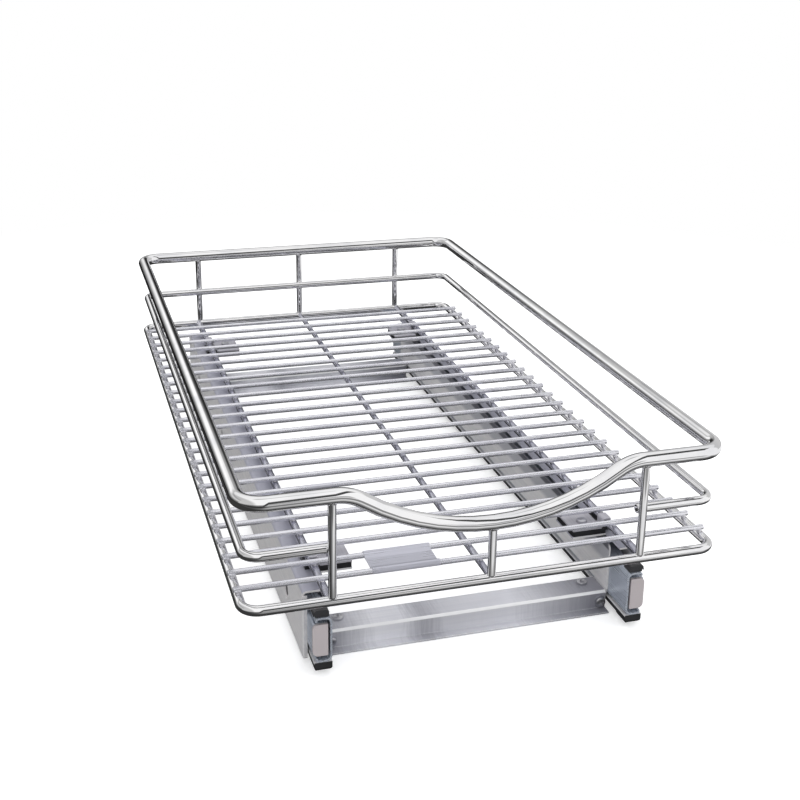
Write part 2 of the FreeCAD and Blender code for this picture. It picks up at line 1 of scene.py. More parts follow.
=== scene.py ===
"""Looks of the roll-out cabinet drawer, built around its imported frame.

The file is laid out as an add-on: sizes and colours are properties, each group of like
pieces has an operator, and a panel in the 3D view's sidebar lists them. Lengths are in
metres and in the part's own frame: +X right, +Y into the cabinet, +Z up.
"""
import math

import bmesh
import bpy
from mathutils import Matrix, Vector


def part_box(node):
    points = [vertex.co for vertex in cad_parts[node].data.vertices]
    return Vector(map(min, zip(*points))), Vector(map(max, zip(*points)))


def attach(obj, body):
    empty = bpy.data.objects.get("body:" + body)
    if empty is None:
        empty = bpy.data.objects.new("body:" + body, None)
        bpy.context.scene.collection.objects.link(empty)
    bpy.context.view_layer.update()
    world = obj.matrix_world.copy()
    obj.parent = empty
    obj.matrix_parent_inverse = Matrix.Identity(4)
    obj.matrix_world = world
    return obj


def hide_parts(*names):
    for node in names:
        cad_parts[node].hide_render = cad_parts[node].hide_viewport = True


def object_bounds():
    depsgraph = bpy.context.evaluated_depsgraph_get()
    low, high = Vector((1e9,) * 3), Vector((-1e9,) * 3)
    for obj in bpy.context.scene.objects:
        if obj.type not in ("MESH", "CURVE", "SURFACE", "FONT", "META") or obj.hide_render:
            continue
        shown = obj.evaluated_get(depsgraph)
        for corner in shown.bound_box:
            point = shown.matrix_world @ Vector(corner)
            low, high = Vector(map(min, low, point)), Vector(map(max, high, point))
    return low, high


bl_info = {
    "name": "Roll-out cabinet drawer",
    "version": (1, 0, 0),
    "blender": (4, 5, 0),
    "location": "3D View > Sidebar > Drawer",
    "description": "Dresses the drawer's frame with wires, screws, finishes and a studio stage",
    "category": "Object",
}

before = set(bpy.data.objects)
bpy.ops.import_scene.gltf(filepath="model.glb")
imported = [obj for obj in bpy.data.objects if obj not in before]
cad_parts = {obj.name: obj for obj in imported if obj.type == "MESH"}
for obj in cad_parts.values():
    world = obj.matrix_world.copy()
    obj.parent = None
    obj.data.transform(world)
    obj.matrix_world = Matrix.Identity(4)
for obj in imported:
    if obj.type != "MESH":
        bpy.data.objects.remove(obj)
cad_box = [list(corner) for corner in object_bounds()]

MM = 0.001
FINISH_PREFIX = "finish_"
CROSS_WIRE_COUNT = 25
ROW_POSTS = 3

# Fineness of the swept wires: sides of the section, steps along a run, turn for each ring at a bend,
# and how near a bend or a cut end a ring stands
THICK_SIDES = 40
RAIL_SIDES = 32
POST_SIDES = 28
LONG_SIDES = 24
CROSS_SIDES = 20
POST_STEPS = 8
WIRE_STEPS = 12
ARC_STEP = math.radians(5)
BEND_MARGIN = 0.4 * MM
END_MARGIN = 1.0 * MM
CUT_END_STEPS = 4

# Welds: share of the rail's radius where a post's foot stands, seat of a fillet, half sizes of the
# nuggets, and how far a nugget at the middle rail is from a post's middle, as a share of its radius
WELD_CROWN = 0.72
WELD_SEAT = 0.985
WELD_SIDES = 28
WELD_STEPS = 5
BEAD_REACH = 0.75
POST_BEAD = (0.9 * MM, 1.2 * MM, 1.9 * MM)
WIRE_NUGGET = (1.5 * MM, 1.55 * MM, 0.55 * MM)

# Screw heads and their cross recess, as shares of the head's radius and height
HEAD_RIM = 0.55
HEAD_EDGE = 0.12
HEAD_SEAT = 0.97
RECESS_ARM = 0.52
RECESS_HALF = 0.105
RECESS_DEPTH = 0.62
RECESS_TAPER = 0.25
RECESS_WALL = 0.45
RECESS_END = 0.4
SCREW_RINGS = 16
SCREW_SIDES = 64
SCREW_TURN_START = 0.6
SCREW_TURN_STEP = 1.1
RAIL_SCREW_SHANK = 5 * MM
CLIP_SCREW_SHANK = 9 * MM

# Bare name plate: places of its rows between two wires and of its columns, as shares; degrees round
# a wire and where they start; gap to the wire, drop of the flat part and rounding of the edges
PLATE_ROWS = (0.2, 0.26, 0.3, 0.7, 0.74, 0.8)
PLATE_COLUMNS = (0.0, 0.012, 0.05, 0.06, 0.5, 0.94, 0.95, 0.988, 1.0)
PLATE_WRAP = 110
PLATE_STARTS = (200, 90)
PLATE_WRAP_STEPS = 8
PLATE_GAP = 0.05 * MM
PLATE_FALL = 0.1 * MM
PLATE_EDGE_R = 0.12 * MM

# Rounding of cut edges by modifiers
SEAM_GAP = 0.01 * MM
FLAT_ANGLE = math.radians(1)
EDGE_ANGLE = math.radians(38)
EDGE_SEGMENTS = 2
SHADING_WEIGHT = 80

# How metallic each sheet is under its zinc
SHEET_METALLIC = 0.2
RAIL_METALLIC = 0.22
SLIDE_METALLIC = 0.45

# Relief of the surfaces: bump distances, strength for sheet, and the width of the rails' bright edges,
# which are worn edges with a painted highlight
PLATING_RELIEF = 0.02 * MM
SHEET_RELIEF = 0.05 * MM
SHEET_BUMP = 0.12
RAIL_HIGHLIGHT_R = 0.9 * MM

# Directions of the fine lines: the small number lies along them
ALONG_DRAWER = (700.0, 14.0, 500.0)
ALONG_SLIDE = (900.0, 9.0, 900.0)
ALONG_RAIL = (14.0, 700.0, 500.0)
ALONG_PLATE = (12.0, 900.0, 900.0)

# Plated finishes: colour, cloud colour, least and most roughness, bump strength, how metallic
PLATED = (
    ("bright_wire", "wire", "wire_shade", 0.03, 0.06, 0.02, 1.0),
    ("satin_wire", "satin_wire", "satin_cloud", 0.18, 0.28, 0.01, 0.75),
    # Painted shade: the long wires are a darker copy of the plated floor wire
    ("long_wire", "long_wire", "long_cloud", 0.14, 0.22, 0.01, 0.9),
    ("weld_metal", "wire_shade", "sheet_shade", 0.2, 0.4, 0.3, 1.0),
    ("polished_ball", "ball", "wire_shade", 0.05, 0.1, 0.02, 1.0),
    ("plated_screw", "screw", "satin_shade", 0.3, 0.42, 0.1, 1.0),
)

# Sheet finishes: colour, cloud colour, direction of the lines, how metallic, least and most
# roughness, edge wear
SHEETS = (
    ("bracket_sheet", "sheet", "sheet_shade", ALONG_DRAWER, SHEET_METALLIC, 0.3, 0.42, 0.7),
    ("carriage_sheet", "sheet", "sheet_shade", ALONG_DRAWER, SHEET_METALLIC, 0.3, 0.42, 0.7),
    ("clip_sheet", "clip", "clip_shade", ALONG_DRAWER, SHEET_METALLIC, 0.3, 0.42, 0.5),
    ("slide_steel", "slide", "slide_shade", ALONG_SLIDE, SLIDE_METALLIC, 0.22, 0.36, 0.9),
    ("name_plate_sheet", "plate", "satin_shade", ALONG_PLATE, SLIDE_METALLIC, 0.22, 0.34, 0.6),
)

# Moulded finishes: colour, grain scale, dust, least and most roughness, bump strength
MOULDED = (
    ("grey_plastic", "end_cap", 1300.0, 0.1, 0.38, 0.5, 0.25),
    ("black_plastic", "black_plastic", 1500.0, 0.12, 0.3, 0.45, 0.25),
    ("dark_plastic", "dark_plastic", 1500.0, 0.15, 0.35, 0.5, 0.25),
    ("black_rubber", "rubber", 1100.0, 0.2, 0.55, 0.75, 0.4),
    ("strip_rubber", "rubber", 1100.0, 0.2, 0.55, 0.75, 0.4),
)

# Bands of painted shade on the carriage flange and on the inner walls' upper part and rim, and a band of
# the sheet's colour with painted shade over the top of the floor strips' sides: finish, node whose top
# the depth is measured from, depth, height of the fade, colour
BANDS = (
    ("carriage_sheet", "carriage_left", 2.0 * MM, 0.8 * MM, "flange_painted_shade"),
    ("bracket_sheet", "base_bracket_left", 14.5 * MM, 3.0 * MM, "bracket_top_painted_shade"),
    ("bracket_sheet", "base_bracket_left", 4.5 * MM, 1.0 * MM, "bracket_rim_painted_shade"),
    ("strip_rubber", "floor_strip_left", 1.0 * MM, 0.2 * MM, "strip_side_painted_shade"),
)

# Painted reflection on the brushed cross rails: light and dark patches, by share of their length
PAINTED_SHEEN_PATCHES = (
    (0.02, 0.2),
    (0.18, 1.0),
    (0.26, 0.9),
    (0.34, 0.3),
    (0.42, 0.65),
    (0.66, 0.85),
    (0.8, 0.4),
    (0.95, 0.0),
)
# Streaks in the painted reflection, and the heights where the painted highlight on the upper bends fades
# in
PAINTED_SHEEN_STREAKS = (900.0, 60.0, 60.0)
UPPER_BEND_HIGHLIGHT = (6 * MM, 9 * MM)


def cad_low(node):
    """Lowest corner of a node of the frame."""
    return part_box(node)[0]


def cad_high(node):
    """Highest corner of a node of the frame."""
    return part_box(node)[1]


def length(name, description, default, low=0.0001, high=1.0):
    """A length property in metres."""
    return bpy.props.FloatProperty(
        name=name,
        description=description,
        default=default,
        min=low,
        max=high,
        precision=5,
        unit="LENGTH",
        subtype="DISTANCE",
    )


def colour(name, description, default):
    """A colour property."""
    return bpy.props.FloatVectorProperty(
        name=name,
        description=description,
        default=default,
        min=0.0,
        max=1.0,
        size=3,
        subtype="COLOR",
    )


class DrawerSizes(bpy.types.PropertyGroup):
    """Sizes of the wires, screws and small forms."""

    top_rail_d: length("Top rail", "Diameter of the top rail", 9.0 * MM)
    middle_rail_d: length("Middle rail", "Diameter of the middle rail", 5.6 * MM)
    base_rail_d: length("Base rail", "Diameter of the base rail", 6.0 * MM)
    post_d: length("Posts", "Diameter of the upright posts", 4.8 * MM)
    cross_wire_d: length("Cross wires", "Diameter of the cross wires", 3.5 * MM)
    runner_wire_d: length("Runner wires", "Diameter of the runner wires", 5.0 * MM)
    centre_wire_d: length("Centre wire", "Diameter of the centre wire", 4.0 * MM)
    top_corner_r: length("Top corner", "Bend radius at the top rail's corners", 14.0 * MM)
    middle_corner_r: length("Middle corner", "Bend radius at the middle rail's corners", 9.0 * MM)
    base_corner_r: length("Base corner", "Bend radius at the base rail's corners", 10.0 * MM)
    dip_half_width: length("Dip half width", "Half the width of the finger dip", 90.5 * MM)
    dip_depth: length("Dip depth", "Depth of the finger dip", 27.6 * MM)
    dip_shoulder_r: length("Dip shoulder", "Bend radius where the dip starts", 27.5 * MM)
    post_spacing: length("Post spacing", "Distance between neighbouring posts", 92.4 * MM)
    weld_size: length("Weld", "Width of the weld fillets", 0.75 * MM)
    cut_end_r: length("Cut ends", "Rounding of the cut wire ends", 0.5 * MM)
    sheet_edge_r: length("Sheet edges", "Rounding of the cut sheet edges", 0.22 * MM)
    screw_head_d: length("Screw heads", "Diameter of the screw heads", 6.6 * MM)
    screw_head_h: length("Screw head height", "Height of the screw heads", 2.2 * MM)
    screw_d: length("Screw thread", "Diameter of the screw threads", 3.5 * MM)
    rail_lip: length("Cross rail lip", "Depth of the lip in front of the cross rails", 6.4 * MM)
    top_screw_x: length("Top screw place", "Half the distance between the rails' top screws", 78.4 * MM)
    top_screw_setback: length("Top screw setback", "Setback of the top screws from the faces", 12.5 * MM)
    face_screw_x: length("Face screw place", "Half the distance between the face screws", 85.6 * MM)
    face_screw_z: length("Face screw height", "Height of the rails' face screws", 5.3 * MM)
    plate_left: length("Name plate left", "Left end of the bare name plate", -65.0 * MM, -1.0)
    plate_right: length("Name plate right", "Right end of the bare name plate", -25.0 * MM, -1.0)
    plate_sheet: length("Name plate sheet", "Thickness of the bare name plate", 0.7 * MM)


class DrawerColours(bpy.types.PropertyGroup):
    """Colours of the finishes and the stage."""

    wire: colour("Plated wire", "Bright plated wire", (0.95, 0.945, 0.95))
    wire_shade: colour("Plated wire shade", "Darker clouds in the plating", (0.84, 0.84, 0.86))
    satin_wire: colour("Satin wire", "Duller plated floor wire", (0.86, 0.86, 0.91))
    satin_cloud: colour("Satin wire cloud", "Darker clouds in the floor wire", (0.72, 0.72, 0.78))
    # Painted shade: the long wires are a darker copy of the plated floor wire, not a duller plating
    long_wire: colour("Long wires", "Duller plated wires from front to back", (0.6, 0.6, 0.67))
    long_cloud: colour("Long wire cloud", "Darker clouds in the long wires", (0.44, 0.44, 0.51))
    satin_shade: colour("Satin shade", "Darker clouds in the screws and the plate", (0.56, 0.56, 0.63))
    # Painted shade on the carriage flange over the slides
    flange_painted_shade: colour("Carriage flange", "Shaded flange over the slides", (0.46, 0.46, 0.53))
    clip: colour("Clip plates", "Greyer sheet of the clip plates", (0.5, 0.49, 0.53))
    clip_shade: colour("Clip plate shade", "Darker clouds in the clip plates", (0.38, 0.37, 0.41))
    # Painted shade on the upper part of the inner walls
    bracket_top_painted_shade: colour("Bracket top", "Upper band of the inner walls", (0.5, 0.5, 0.53))
    # Painted shade on the rim of the inner walls
    bracket_rim_painted_shade: colour("Bracket rim", "Shaded rim of the inner walls", (0.14, 0.14, 0.16))
    # The sheet's colour with painted shade, painted over the top of the floor strips' sides
    strip_side_painted_shade: colour("Strip side", "Upper edge of the floor strips", (0.62, 0.61, 0.62))
    sheet: colour("Zinc sheet", "Zinc-plated sheet", (0.86, 0.84, 0.83))
    sheet_shade: colour("Zinc sheet shade", "Darker clouds in the zinc", (0.72, 0.71, 0.72))
    rail_sheet: colour("Rail sheet", "Bluish zinc of the cross rails", (0.92, 0.92, 0.95))
    rail_shade: colour("Rail sheet shade", "Darker clouds in the cross rails", (0.82, 0.82, 0.87))
    # Dark patches of the painted reflection on the rails
    rail_painted_dark: colour("Rail patches", "Dark patches of the brushed rails", (0.3, 0.3, 0.34))
    # Painted highlight on the rails' upper bends, and on their edges, which are partly worn edges
    rail_bend_highlight: colour("Rail bends", "Bright bends and edges of the rails", (0.98, 0.98, 0.98))
    slide: colour("Slide steel", "Drawn slide members", (0.52, 0.56, 0.63))
    slide_shade: colour("Slide steel shade", "Darker lines in the slide members", (0.42, 0.46, 0.53))
    plate: colour("Name plate", "Bare lavender-grey plate", (0.5, 0.5, 0.56))
    worn_edge: colour("Worn edge", "Bare metal along the sheet edges", (0.9, 0.89, 0.88))
    ball: colour("Ball steel", "Polished balls", (0.8, 0.8, 0.82))
    screw: colour("Screws", "Plated screws", (0.6, 0.6, 0.62))
    end_cap: colour("End caps", "Warm grey plastic", (0.48, 0.435, 0.44))
    black_plastic: colour("Black plastic", "Clip blocks", (0.012, 0.012, 0.014))
    dark_plastic: colour("Dark plastic", "Stop clips", (0.035, 0.035, 0.038))
    rubber: colour("Rubber", "Floor strips and bumpers", (0.022, 0.022, 0.023))
    dust: colour("Dust", "Settled dust", (0.32, 0.31, 0.3))
    floor: colour("Floor", "Pale studio floor", (0.86, 0.86, 0.86))


def sizes():
    """The drawer's size properties."""
    return bpy.context.scene.drawer_sizes


def colours():
    """The drawer's colour properties."""
    return bpy.context.scene.drawer_colours


# Mesh forms


def mesh_object(name, bm, material):
    """Turn a bmesh into a smooth-shaded object in the scene, with one material."""
    bmesh.ops.recalc_face_normals(bm, faces=bm.faces)
    mesh = bpy.data.meshes.new(name)
    bm.to_mesh(mesh)
    bm.free()
    for polygon in mesh.polygons:
        polygon.use_smooth = True
    mesh.materials.append(material)
    piece = bpy.data.objects.new(name, mesh)
    bpy.context.scene.collection.objects.link(piece)
    return piece


def place_wire(bm, name, finish, node=None):
    """Put a wire piece in the basket, in place of a node if one is named."""
    piece = mesh_object(name, bm, material_of(finish))
    if node:
        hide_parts(node)
    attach(piece, "basket")
    return piece


def rounded_path(corners, radii, closed):
    """Points and headings along straight runs with a tangent arc at each corner."""
    count = len(corners)
    bends = []
    for i in range(count):
        corner = corners[i]
        if not closed and i in (0, count - 1):
            far = corners[1] - corners[0] if i == 0 else corners[-1] - corners[-2]
            bends.append([(corner.copy(), far.normalized())])
            continue
        before = (corner - corners[i - 1]).normalized()
        after = (corners[(i + 1) % count] - corner).normalized()
        turn = before.angle(after)
        start = corner - before * radii[i] * math.tan(turn / 2)
        axis = before.cross(after).normalized()
        centre = start + axis.cross(before) * radii[i]
        steps = max(2, math.ceil(turn / ARC_STEP))
        bend = []
        for step in range(steps + 1):
            swing = Matrix.Rotation(turn * step / steps, 3, axis)
            bend.append((centre + swing @ (start - centre), swing @ before))
        bends.append(bend)
    path = []
    for i in range(count):
        path.extend(bends[i])
        if i == count - 1 and not closed:
            break
        here, heading = bends[i][-1]
        there = bends[(i + 1) % count][0][0]
        run = (there - here).length
        if run < MM:
            path.pop()
        elif run > 4 * BEND_MARGIN:
            first = END_MARGIN if i == 0 and not closed else BEND_MARGIN
            last = END_MARGIN if i == count - 2 and not closed else BEND_MARGIN
            path.append((here + heading * first, heading))
            path.append((there - heading * last, heading))
    return path


def straight_path(start, end, count):
    """Points and headings along one straight run, with a margin at both ends."""
    heading = (end - start).normalized()
    inner_start = start + heading * END_MARGIN
    inner_end = end - heading * END_MARGIN
    run = inner_end - inner_start
    steps = [(inner_start + run * k / count, heading) for k in range(count + 1)]
    return [(start, heading)] + steps + [(end, heading)]


def ring_points(centre, side, other, radius, count):
    """Points of a circle spanned by two unit vectors."""
    points = []
    for k in range(count):
        angle = 2 * math.pi * k / count
        points.append(centre + side * math.cos(angle) * radius + other * math.sin(angle) * radius)
    return points


def add_tube(bm, path, radius, sides, closed=False, end_r=0.0):
    """Sweep a round section along a path, with rounded ends when the path is open and an end radius is
    given.
    """
    headings = [heading for _, heading in path]
    side = headings[0].orthogonal().normalized()
    rings = []
    for point, heading in path:
        side = (side - heading * side.dot(heading)).normalized()
        rings.append((point, side.copy(), heading.cross(side), radius))
    if not closed and end_r > 0:
        rings = rounded_ends(rings, headings, radius, end_r)
    loops = []
    for centre, first, second, ring_radius in rings:
        loops.append([bm.verts.new(p) for p in ring_points(centre, first, second, ring_radius, sides)])
    join_loops(bm, loops, closing=closed)
    if not closed:
        bm.faces.new(loops[0])
        bm.faces.new(loops[-1])


def rounded_ends(rings, headings, radius, end_r):
    """Replace the first and last ring by rings that round the cut end."""
    start, end = [], []
    for k in range(CUT_END_STEPS + 1):
        angle = math.pi / 2 * k / CUT_END_STEPS
        inset = end_r * (1 - math.sin(angle))
        shrink = end_r * (1 - math.cos(angle))
        centre, side, other, _ = rings[0]
        start.append((centre + headings[0] * inset, side, other, radius - shrink))
        centre, side, other, _ = rings[-1]
        end.append((centre - headings[-1] * inset, side, other, radius - shrink))
    return start[::-1] + rings[1:-1] + end


def join_loops(bm, loops, closing=False):
    """Bridge neighbouring vertex loops with quads, meeting the first loop again if it closes."""
    pairs = list(zip(loops, loops[1:]))
    if closing:
        pairs.append((loops[-1], best_turn(loops[-1], loops[0])))
    for first, second in pairs:
        count = len(first)
        for k in range(count):
            bm.faces.new((first[k], first[(k + 1) % count], second[(k + 1) % count], second[k]))


def best_turn(reference, loop):
    """The same vertex loop, turned so that it lines up with a reference loop."""
    gaps = [(reference[0].co - vert.co).length for vert in loop]
    shift = gaps.index(min(gaps))
    return loop[shift:] + loop[:shift]


def add_saddle_weld(bm, post_x, post_y, post_r, rail_z, rail_r, rail_y, width, upward):
    """Concave weld fillet round a post where it meets a rail that runs along X."""
    sign = 1.0 if upward else -1.0
    limit = rail_r * math.sqrt(1 - WELD_CROWN ** 2)
    loops = []
    for step in range(WELD_STEPS + 1):
        angle = math.pi / 2 * step / WELD_STEPS
        out = width * (1 - math.sin(angle))
        rise = width * (1 - math.cos(angle))
        loop = []
        for k in range(WELD_SIDES):
            around = 2 * math.pi * k / WELD_SIDES
            reach = post_r + out
            x = post_x + reach * math.cos(around)
            y = min(max(post_y + reach * math.sin(around), rail_y - limit), rail_y + limit)
            surface = math.sqrt(rail_r * rail_r - (y - rail_y) ** 2) * WELD_SEAT
            loop.append(bm.verts.new((x, y, rail_z + sign * (surface + rise))))
        loops.append(loop)
    join_loops(bm, loops)


def add_bead(bm, centre, spread):
    """Small flattened weld nugget."""
    bmesh.ops.create_icosphere(
        bm,
        subdivisions=2,
        radius=1.0,
        matrix=Matrix.Translation(centre) @ Matrix.Diagonal((*spread, 1.0)),
    )


# Shared effects, as shader node groups

SURFACE_OUTPUTS = (
    ("Colour", "NodeSocketColor"),
    ("Roughness", "NodeSocketFloat"),
    ("Height", "NodeSocketFloat"),
)


def new_group(name, inputs, outputs):
    """Shader node group with named inputs and outputs."""
    group = bpy.data.node_groups.new(name, "ShaderNodeTree")
    for socket_name, kind, default in inputs:
        socket = group.interface.new_socket(socket_name, in_out="INPUT", socket_type=kind)
        socket.default_value = default
    for socket_name, kind in outputs:
        group.interface.new_socket(socket_name, in_out="OUTPUT", socket_type=kind)
    start = group.nodes.new("NodeGroupInput")
    end = group.nodes.new("NodeGroupOutput")
    return group, start, end


def send_out(group, end, **values):
    """Link values to the group's outputs of the same names."""
    for name, value in values.items():
        group.links.new(value, end.inputs[name])


def add_node(tree, kind, **settings):
    """Add a node; settings name its properties."""
    node = tree.nodes.new(kind)
    for key, value in settings.items():
        setattr(node, key, value)
    return node


def map_range(tree, source, low, high, to_low, to_high):
    """Map a value range onto another, clamped; ends may be numbers or sockets."""
    node = add_node(tree, "ShaderNodeMapRange", clamp=True)
    tree.links.new(source, node.inputs["Value"])
    for key, value in (("From Min", low), ("From Max", high), ("To Min", to_low), ("To Max", to_high)):
        if isinstance(value, (int, float)):
            node.inputs[key].default_value = value
        else:
            tree.links.new(value, node.inputs[key])
    return node.outputs["Result"]


def mix_colour(tree, factor, first, second):
    """Mix two colours that are sockets."""
    node = add_node(tree, "ShaderNodeMix", data_type="RGBA")
    tree.links.new(factor, node.inputs["Factor"])
    tree.links.new(first, node.inputs["A"])
    tree.links.new(second, node.inputs["B"])
    return node.outputs["Result"]


def combine(tree, operation, first, second, clamp=False):
    """One math node on two sockets."""
    node = add_node(tree, "ShaderNodeMath", operation=operation, use_clamp=clamp)
    tree.links.new(first, node.inputs[0])
    tree.links.new(second, node.inputs[1])
    return node.outputs["Value"]


def scaled(tree, source, factor, offset=0.0):
    """A value times a factor plus an offset."""
    node = add_node(tree, "ShaderNodeMath", operation="MULTIPLY_ADD")
    tree.links.new(source, node.inputs[0])
    node.inputs[1].default_value = factor
    node.inputs[2].default_value = offset
    return node.outputs["Value"]


def absolute(tree, source):
    """Size of a value without its sign."""
    node = add_node(tree, "ShaderNodeMath", operation="ABSOLUTE")
    tree.links.new(source, node.inputs[0])
    return node.outputs["Value"]


def split(tree, source):
    """The three parts of a vector, as a node."""
    node = add_node(tree, "ShaderNodeSeparateXYZ")
    tree.links.new(source, node.inputs[0])
    return node


def object_place(tree):
    """Coordinates on the piece itself."""
    return add_node(tree, "ShaderNodeTexCoord").outputs["Object"]


def surface_normal(tree):
    """Direction that the surface faces."""
    return add_node(tree, "ShaderNodeNewGeometry").outputs["Normal"]


def mix_shaders(tree, factor, first, second):
    """Mix the outputs of two shader nodes."""
    node = add_node(tree, "ShaderNodeMixShader")
    tree.links.new(factor, node.inputs[0])
    tree.links.new(first.outputs[0], node.inputs[1])
    tree.links.new(second.outputs[0], node.inputs[2])
    return node


def level_ramp(tree, source, stops):
    """Level that follows a list of (place, level) stops."""
    node = add_node(tree, "ShaderNodeValToRGB")
    tree.links.new(source, node.inputs["Fac"])
    points = node.color_ramp.elements
    while len(points) > 1:
        points.remove(points[-1])
    for i, (place, level) in enumerate(stops):
        point = points[0] if i == 0 else points.new(place)
        point.position = place
        point.color = (level, level, level, 1.0)
    return node.outputs["Color"]


def noise_at(tree, vector, scale, detail, roughness=0.5):
    """Noise texture read at a vector socket."""
    node = add_node(tree, "ShaderNodeTexNoise")
    tree.links.new(vector, node.inputs["Vector"])
    if isinstance(scale, (int, float)):
        node.inputs["Scale"].default_value = scale
    else:
        tree.links.new(scale, node.inputs["Scale"])
    node.inputs["Detail"].default_value = detail
    node.inputs["Roughness"].default_value = roughness
    return node.outputs["Fac"]


def plating_group():
    """Clouded plating: colour, roughness and height that drift slowly over the metal."""
    inputs = [
        ("Colour", "NodeSocketColor", (0.8, 0.8, 0.8, 1)),
        ("Shade", "NodeSocketColor", (0.7, 0.7, 0.7, 1)),
        ("Smooth", "NodeSocketFloat", 0.08),
        ("Rough", "NodeSocketFloat", 0.16),
        ("Cloud Scale", "NodeSocketFloat", 45.0),
        ("Pit Scale", "NodeSocketFloat", 900.0),
    ]
    group, start, end = new_group("clouded_plating", inputs, SURFACE_OUTPUTS)
    place = object_place(group)
    cloud = noise_at(group, place, start.outputs["Cloud Scale"], 3.0)
    pits = noise_at(group, place, start.outputs["Pit Scale"], 2.0, 0.6)
    shade = map_range(group, cloud, 0.42, 0.68, 0.0, 1.0)
    tint = mix_colour(group, shade, start.outputs["Colour"], start.outputs["Shade"])
    rough = map_range(group, cloud, 0.35, 0.7, start.outputs["Smooth"], start.outputs["Rough"])
    send_out(group, end, Colour=tint, Roughness=rough, Height=pits)
    return group


def drawn_lines_group():
    """Fine lines left by rolling or brushing, along the direction with the small stretch."""
    inputs = [
        ("Colour", "NodeSocketColor", (0.7, 0.7, 0.7, 1)),
        ("Shade", "NodeSocketColor", (0.5, 0.5, 0.5, 1)),
        ("Stretch", "NodeSocketVector", (900.0, 12.0, 900.0)),
        ("Smooth", "NodeSocketFloat", 0.25),
        ("Rough", "NodeSocketFloat", 0.4),
        ("Cloud Scale", "NodeSocketFloat", 18.0),
    ]
    group, start, end = new_group("drawn_lines", inputs, SURFACE_OUTPUTS)
    place = object_place(group)
    stretch = add_node(group, "ShaderNodeVectorMath", operation="MULTIPLY")
    group.links.new(place, stretch.inputs[0])
    group.links.new(start.outputs["Stretch"], stretch.inputs[1])
    lines = noise_at(group, stretch.outputs["Vector"], 1.0, 3.0, 0.6)
    cloud = noise_at(group, place, start.outputs["Cloud Scale"], 4.0)
    both = combine(group, "ADD", lines, cloud)
    shade = map_range(group, both, 0.75, 1.3, 0.0, 1.0)
    tint = mix_colour(group, shade, start.outputs["Colour"], start.outputs["Shade"])
    rough = map_range(group, both, 0.7, 1.3, start.outputs["Smooth"], start.outputs["Rough"])
    send_out(group, end, Colour=tint, Roughness=rough, Height=lines)
    return group


def edge_wear_group():
    """Mask that is bright along edges, broken up by noise."""
    inputs = [
        ("Radius", "NodeSocketFloat", 0.0006),
        ("Amount", "NodeSocketFloat", 0.6),
        ("Least", "NodeSocketFloat", 0.25),
    ]
    group, start, end = new_group("edge_wear", inputs, [("Mask", "NodeSocketFloat")])
    place = object_place(group)
    rounded = add_node(group, "ShaderNodeBevel", samples=4)
    group.links.new(start.outputs["Radius"], rounded.inputs["Radius"])
    closeness = add_node(group, "ShaderNodeVectorMath", operation="DOT_PRODUCT")
    group.links.new(rounded.outputs["Normal"], closeness.inputs[0])
    group.links.new(surface_normal(group), closeness.inputs[1])
    edge = map_range(group, closeness.outputs["Value"], 0.99, 0.8, 0.0, 1.0)
    breaks = map_range(group, noise_at(group, place, 260.0, 3.0), 0.35, 0.6, start.outputs["Least"], 1.0)
    worn = combine(group, "MULTIPLY", edge, breaks)
    shown = combine(group, "MULTIPLY", worn, start.outputs["Amount"], clamp=True)
    send_out(group, end, Mask=shown)
    return group


def painted_sheen_group():
    """Painted reflection in light and dark patches along X, and a mask of the upper bends for a painted
    highlight.
    """
    inputs = [
        ("Colour", "NodeSocketColor", (0.8, 0.8, 0.8, 1)),
        ("Shade", "NodeSocketColor", (0.4, 0.4, 0.4, 1)),
        ("Left", "NodeSocketFloat", -0.09),
        ("Right", "NodeSocketFloat", 0.09),
    ]
    outputs = [("Colour", "NodeSocketColor"), ("Bend", "NodeSocketFloat")]
    group, start, end = new_group("sheen_patches", inputs, outputs)
    place = object_place(group)
    stretch = add_node(group, "ShaderNodeVectorMath", operation="MULTIPLY")
    stretch.inputs[1].default_value = PAINTED_SHEEN_STREAKS
    group.links.new(place, stretch.inputs[0])
    streaks = noise_at(group, stretch.outputs["Vector"], 1.0, 2.0)
    parts = split(group, place)
    x = parts.outputs["X"]
    along = map_range(group, x, start.outputs["Left"], start.outputs["Right"], -0.04, 0.96)
    shifted = combine(group, "ADD", scaled(group, streaks, 0.08), along)
    light = level_ramp(group, shifted, PAINTED_SHEEN_PATCHES)
    tint = mix_colour(group, light, start.outputs["Shade"], start.outputs["Colour"])
    # Upper bends, where a highlight is painted
    slope = split(group, surface_normal(group))
    slant = absolute(group, combine(group, "MULTIPLY", slope.outputs["Y"], slope.outputs["Z"]))
    bend = map_range(group, slant, 0.08, 0.3, 0.0, 1.0)
    upper = map_range(group, parts.outputs["Z"], *UPPER_BEND_HIGHLIGHT, 0.0, 1.0)
    send_out(group, end, Colour=tint, Bend=combine(group, "MULTIPLY", bend, upper))
    return group


def painted_band_group():
    """Mask from one height upwards, without the faces that look along Y, for bands of painted shade."""
    inputs = [("Low", "NodeSocketFloat", 0.0), ("High", "NodeSocketFloat", 0.001)]
    group, start, end = new_group("side_band", inputs, [("Mask", "NodeSocketFloat")])
    z = split(group, object_place(group)).outputs["Z"]
    height = map_range(group, z, start.outputs["Low"], start.outputs["High"], 0.0, 1.0)
    ahead = absolute(group, split(group, surface_normal(group)).outputs["Y"])
    beside = map_range(group, ahead, 0.5, 0.8, 1.0, 0.0)
    send_out(group, end, Mask=combine(group, "MULTIPLY", height, beside))
    return group


